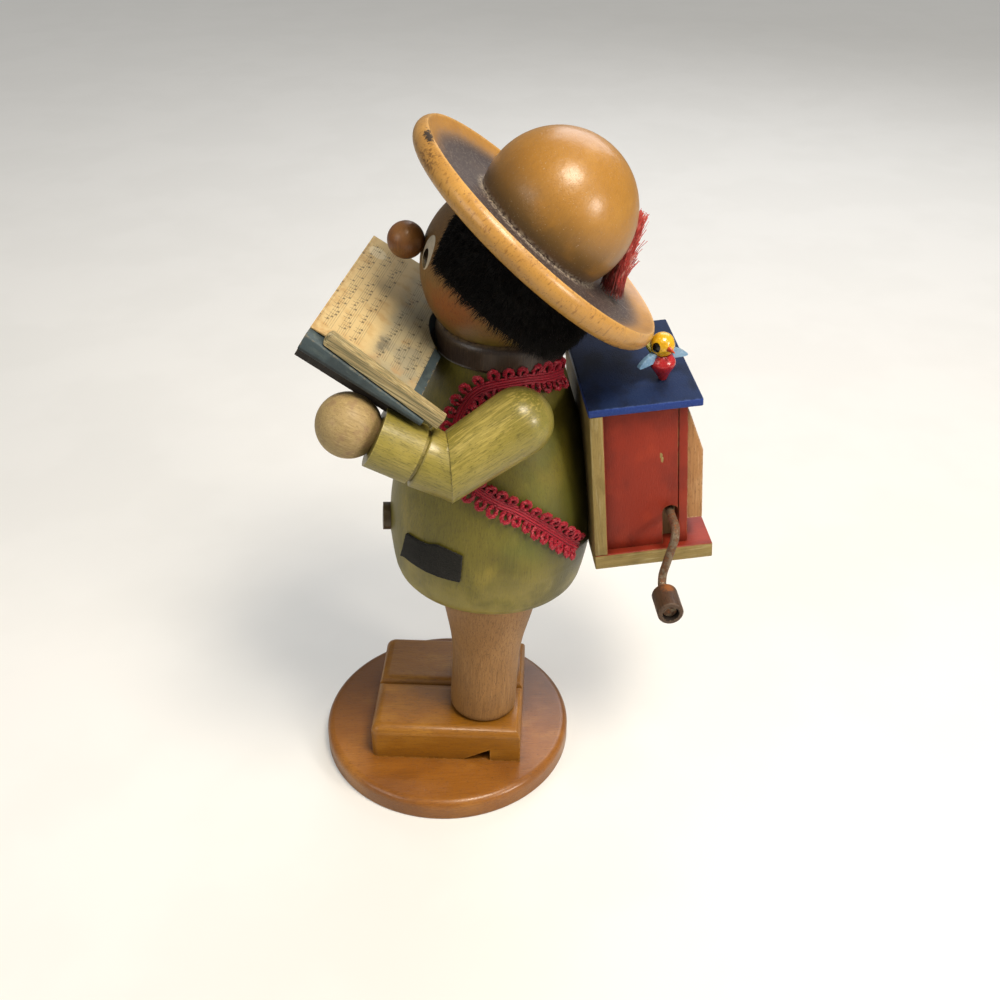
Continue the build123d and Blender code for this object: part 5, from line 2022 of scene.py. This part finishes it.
    def rusted_sleeve(self) -> Material:
        """The dark dowel sleeve, stained orange by rust at its inner end."""
        start = frame_matrix(Vector(self.sleeve_start), Vector((0, 1, 0)), Vector((1, 0, 0)))
        wood = DARK_SLEEVE.lay_up(start)
        wood.lay("#94561f", wood.spot((0.4, 3.2, 1.8), (2.6, 2.4, 2.6), 0.8, 0.5, 0.7), 0.85, 0.8)
        wood.lay("#0e0a07", wood.ramp(Measure.RADIUS, 2.6, 2.2), 0.9, 0.9)
        wood.lay("#8a7358", wood.both(wood.edges(0.5), wood.pattern(0.7, 0.42, 0.6)), 0.5)
        return DARK_SLEEVE.varnish(wood)


@dataclass
class Bird:
    """The enamelled bird on the roof."""

    foot: Triple = (11.5, 22.2, 52.45)
    turn: float = 20.0
    eye: Triple = (1.3, 2.5, 10.6)
    eye_reach: Triple = (1.25, 1.5, 1.5)

    def frame(self) -> Matrix:
        """The bird's frame, with x out through its beak."""
        place = Matrix.Translation(Vector(self.foot) * MM)
        return FRAMES.organ() @ place @ Matrix.Rotation(math.radians(self.turn), 4, "Z")

    def plumper(self, grow: Triple, ahead: float = 0.0, was_up: float = 0.0, up: float = 0.0) -> Mover:
        """How a piece's points move to the real bird's rounder form.

        Args:
            grow: How many times larger it gets along x, y and z.
            ahead: How far it moves towards the beak.
            was_up: The height of its middle in the model.
            up: The height that its middle gets.

        Returns:
            The move.
        """
        def move(place: Vector) -> Vector:
            """Moves a point of the piece."""
            return Vector((place.x * grow[0] + ahead, place.y * grow[1], up + (place.z - was_up) * grow[2]))

        return move

    def face(self) -> Material:
        """Yellow enamel with a black eye on each side."""
        head = YELLOW_ENAMEL.lay_up(self.frame())
        ahead, beside, up = self.eye
        for across in (beside, -beside):
            head.lay("#0e0c0a", head.spot((ahead, across, up), self.eye_reach, 0.12), 1.0, 0.12)
        return YELLOW_ENAMEL.closed(head)

    def build(self, nodes: Nodes) -> None:
        """Shapes the bird's pieces, plumper than the frame's, and dresses them."""
        frame = self.frame()
        pieces = (
            ("body", "bird_red", RED_ENAMEL, self.plumper((1.25, 1.25, 1))),
            ("head", "bird_yellow", None, self.plumper((1.1, 1.1, 1.1), was_up=10.2, up=10.3)),
            ("beak", "bird_orange", ORANGE_ENAMEL, self.plumper((1, 1, 1), ahead=0.3)),
            ("wings", "bird_blue", PALE_BLUE_ENAMEL, self.plumper((1.7, 1, 0.62), was_up=5.6, up=6.9)),
        )
        for part, slot, enamel, move in pieces:
            material = enamel.closed(enamel.lay_up(frame)) if enamel else self.face()
            shaped = reworked(nodes["bird_" + part], "enamelled_" + part, frame, move)
            stand_for(shaped, "figure", slot, material, "bird_" + part)
        dress(nodes["bird_tail"], OLIVE_ENAMEL.closed(OLIVE_ENAMEL.lay_up(frame)))


@dataclass(frozen=True)
class Lamp:
    """A soft square lamp: its place and aim in metres, its size, its power in watts and its colour."""

    name: str
    place: Triple
    aim: Triple
    size: float
    power: float
    colour: str

    def hang(self) -> None:
        """Hangs the lamp so that it looks at its aim."""
        data = bpy.data.lights.new(self.name, "AREA")
        data.size = self.size
        data.energy = self.power
        data.color = linear(self.colour)[:3]
        lamp = bpy.data.objects.new(self.name, data)
        lamp.location = self.place
        lamp.rotation_euler = (Vector(self.aim) - Vector(self.place)).to_track_quat("-Z", "Y").to_euler()
        bpy.context.scene.collection.objects.link(lamp)


@dataclass
class Studio:
    """The floor, the lamps, the world and the camera."""

    lens: float = 43.2
    sensor: float = 36.0
    camera_place: Triple = (0.296, -0.0088, 0.289)
    camera_tilt: float = 56.4
    camera_turn: float = 84.9
    floor_half: float = 3.0
    floor_glow: float = 0.3
    floor_colour: str = "#eeedea"
    sky_colour: str = "#f5f3ef"
    sky_seen: float = 0.62
    sky_light: float = 0.22
    lamps: tuple[Lamp, ...] = (
        Lamp("key_lamp", (0.22, 0.16, 0.66), (0, 0.03, 0.12), 0.2, 3.5, "#fff1dd"),
        Lamp("front_lamp", (0.35, -0.60, 0.50), (0, 0.0, 0.12), 0.4, 1.4, "#fbf7f0"),
        Lamp("window_lamp", (0.42, 0.50, 0.36), (0, 0.03, 0.12), 0.14, 1.9, "#fff4e6"),
        Lamp("back_lamp", (-0.55, 0.30, 0.6), (0, 0.02, 0.12), 0.5, 2.4, "#f3f4f8"),
    )

    def camera(self) -> None:
        """Sets up the camera where the photograph was taken from."""
        data = bpy.data.cameras.new("view_camera")
        data.lens = self.lens
        data.sensor_width = self.sensor
        camera = bpy.data.objects.new("view_camera", data)
        camera.location = self.camera_place
        camera.rotation_euler = (math.radians(self.camera_tilt), 0.0, math.radians(self.camera_turn))
        bpy.context.scene.collection.objects.link(camera)
        bpy.context.scene.camera = camera

    def floor(self) -> None:
        """Lays the plain pale floor, which glows a little to the camera alone."""
        deselect()
        bpy.ops.mesh.primitive_plane_add(size=2 * self.floor_half)
        piece = bpy.context.object
        piece.name = "studio_floor"
        paper = PAPER_SWEEP.lay_up(Matrix.Identity(4))
        seen = paper.add("LightPath").outputs["Is Camera Ray"]
        glow = paper.add("Math", {"operation": "MULTIPLY"}, {0: seen, 1: self.floor_glow}).outputs[0]
        colour = linear(self.floor_colour)
        dress(piece, PAPER_SWEEP.closed(paper, Emission_Color=colour, Emission_Strength=glow))
        piece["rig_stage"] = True

    def world(self) -> None:
        """Lights the scene evenly and weakly, and shows the camera a brighter pale background."""
        world = bpy.data.worlds.new("studio_world")
        world.use_nodes = True
        bpy.context.scene.world = world
        tree = world.node_tree
        tree.nodes.clear()
        seen = add_node(tree, "LightPath").outputs["Is Camera Ray"]
        strength = add_node(tree, "Mix", None, {0: seen, 2: self.sky_light, 3: self.sky_seen}).outputs[0]
        light = add_node(tree, "Background", None, {"Color": linear(self.sky_colour), "Strength": strength})
        add_node(tree, "OutputWorld", None, {"Surface": light.outputs[0]})

    def build(self) -> None:
        """Sets up the world, the floor and the lamps."""
        self.world()
        self.floor()
        for lamp in self.lamps:
            lamp.hang()
        bpy.context.scene.view_settings.view_transform = "Standard"


def corners(bounds: tuple[Vector, Vector]) -> list[list[float]]:
    """A box as plain lists of numbers."""
    return [list(map(float, corner)) for corner in bounds]


def main() -> None:
    """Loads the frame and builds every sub-assembly in order."""
    logging.basicConfig(level=logging.INFO, format="%(name)s: %(message)s")
    noise.seed_set(NOISE_SEED)
    studio = Studio()
    studio.camera()
    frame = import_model()
    cad_box = corners(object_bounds())
    nodes = frame["nodes"]
    for part in (Stand(), Coat(), Head(), Hat(), Arms(), SongBook(), Organ(), Bird()):
        part.build(nodes)
    studio.build()
    {"cad": cad_box, "visual": corners(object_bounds())}


if __name__ == "__main__":
    main()
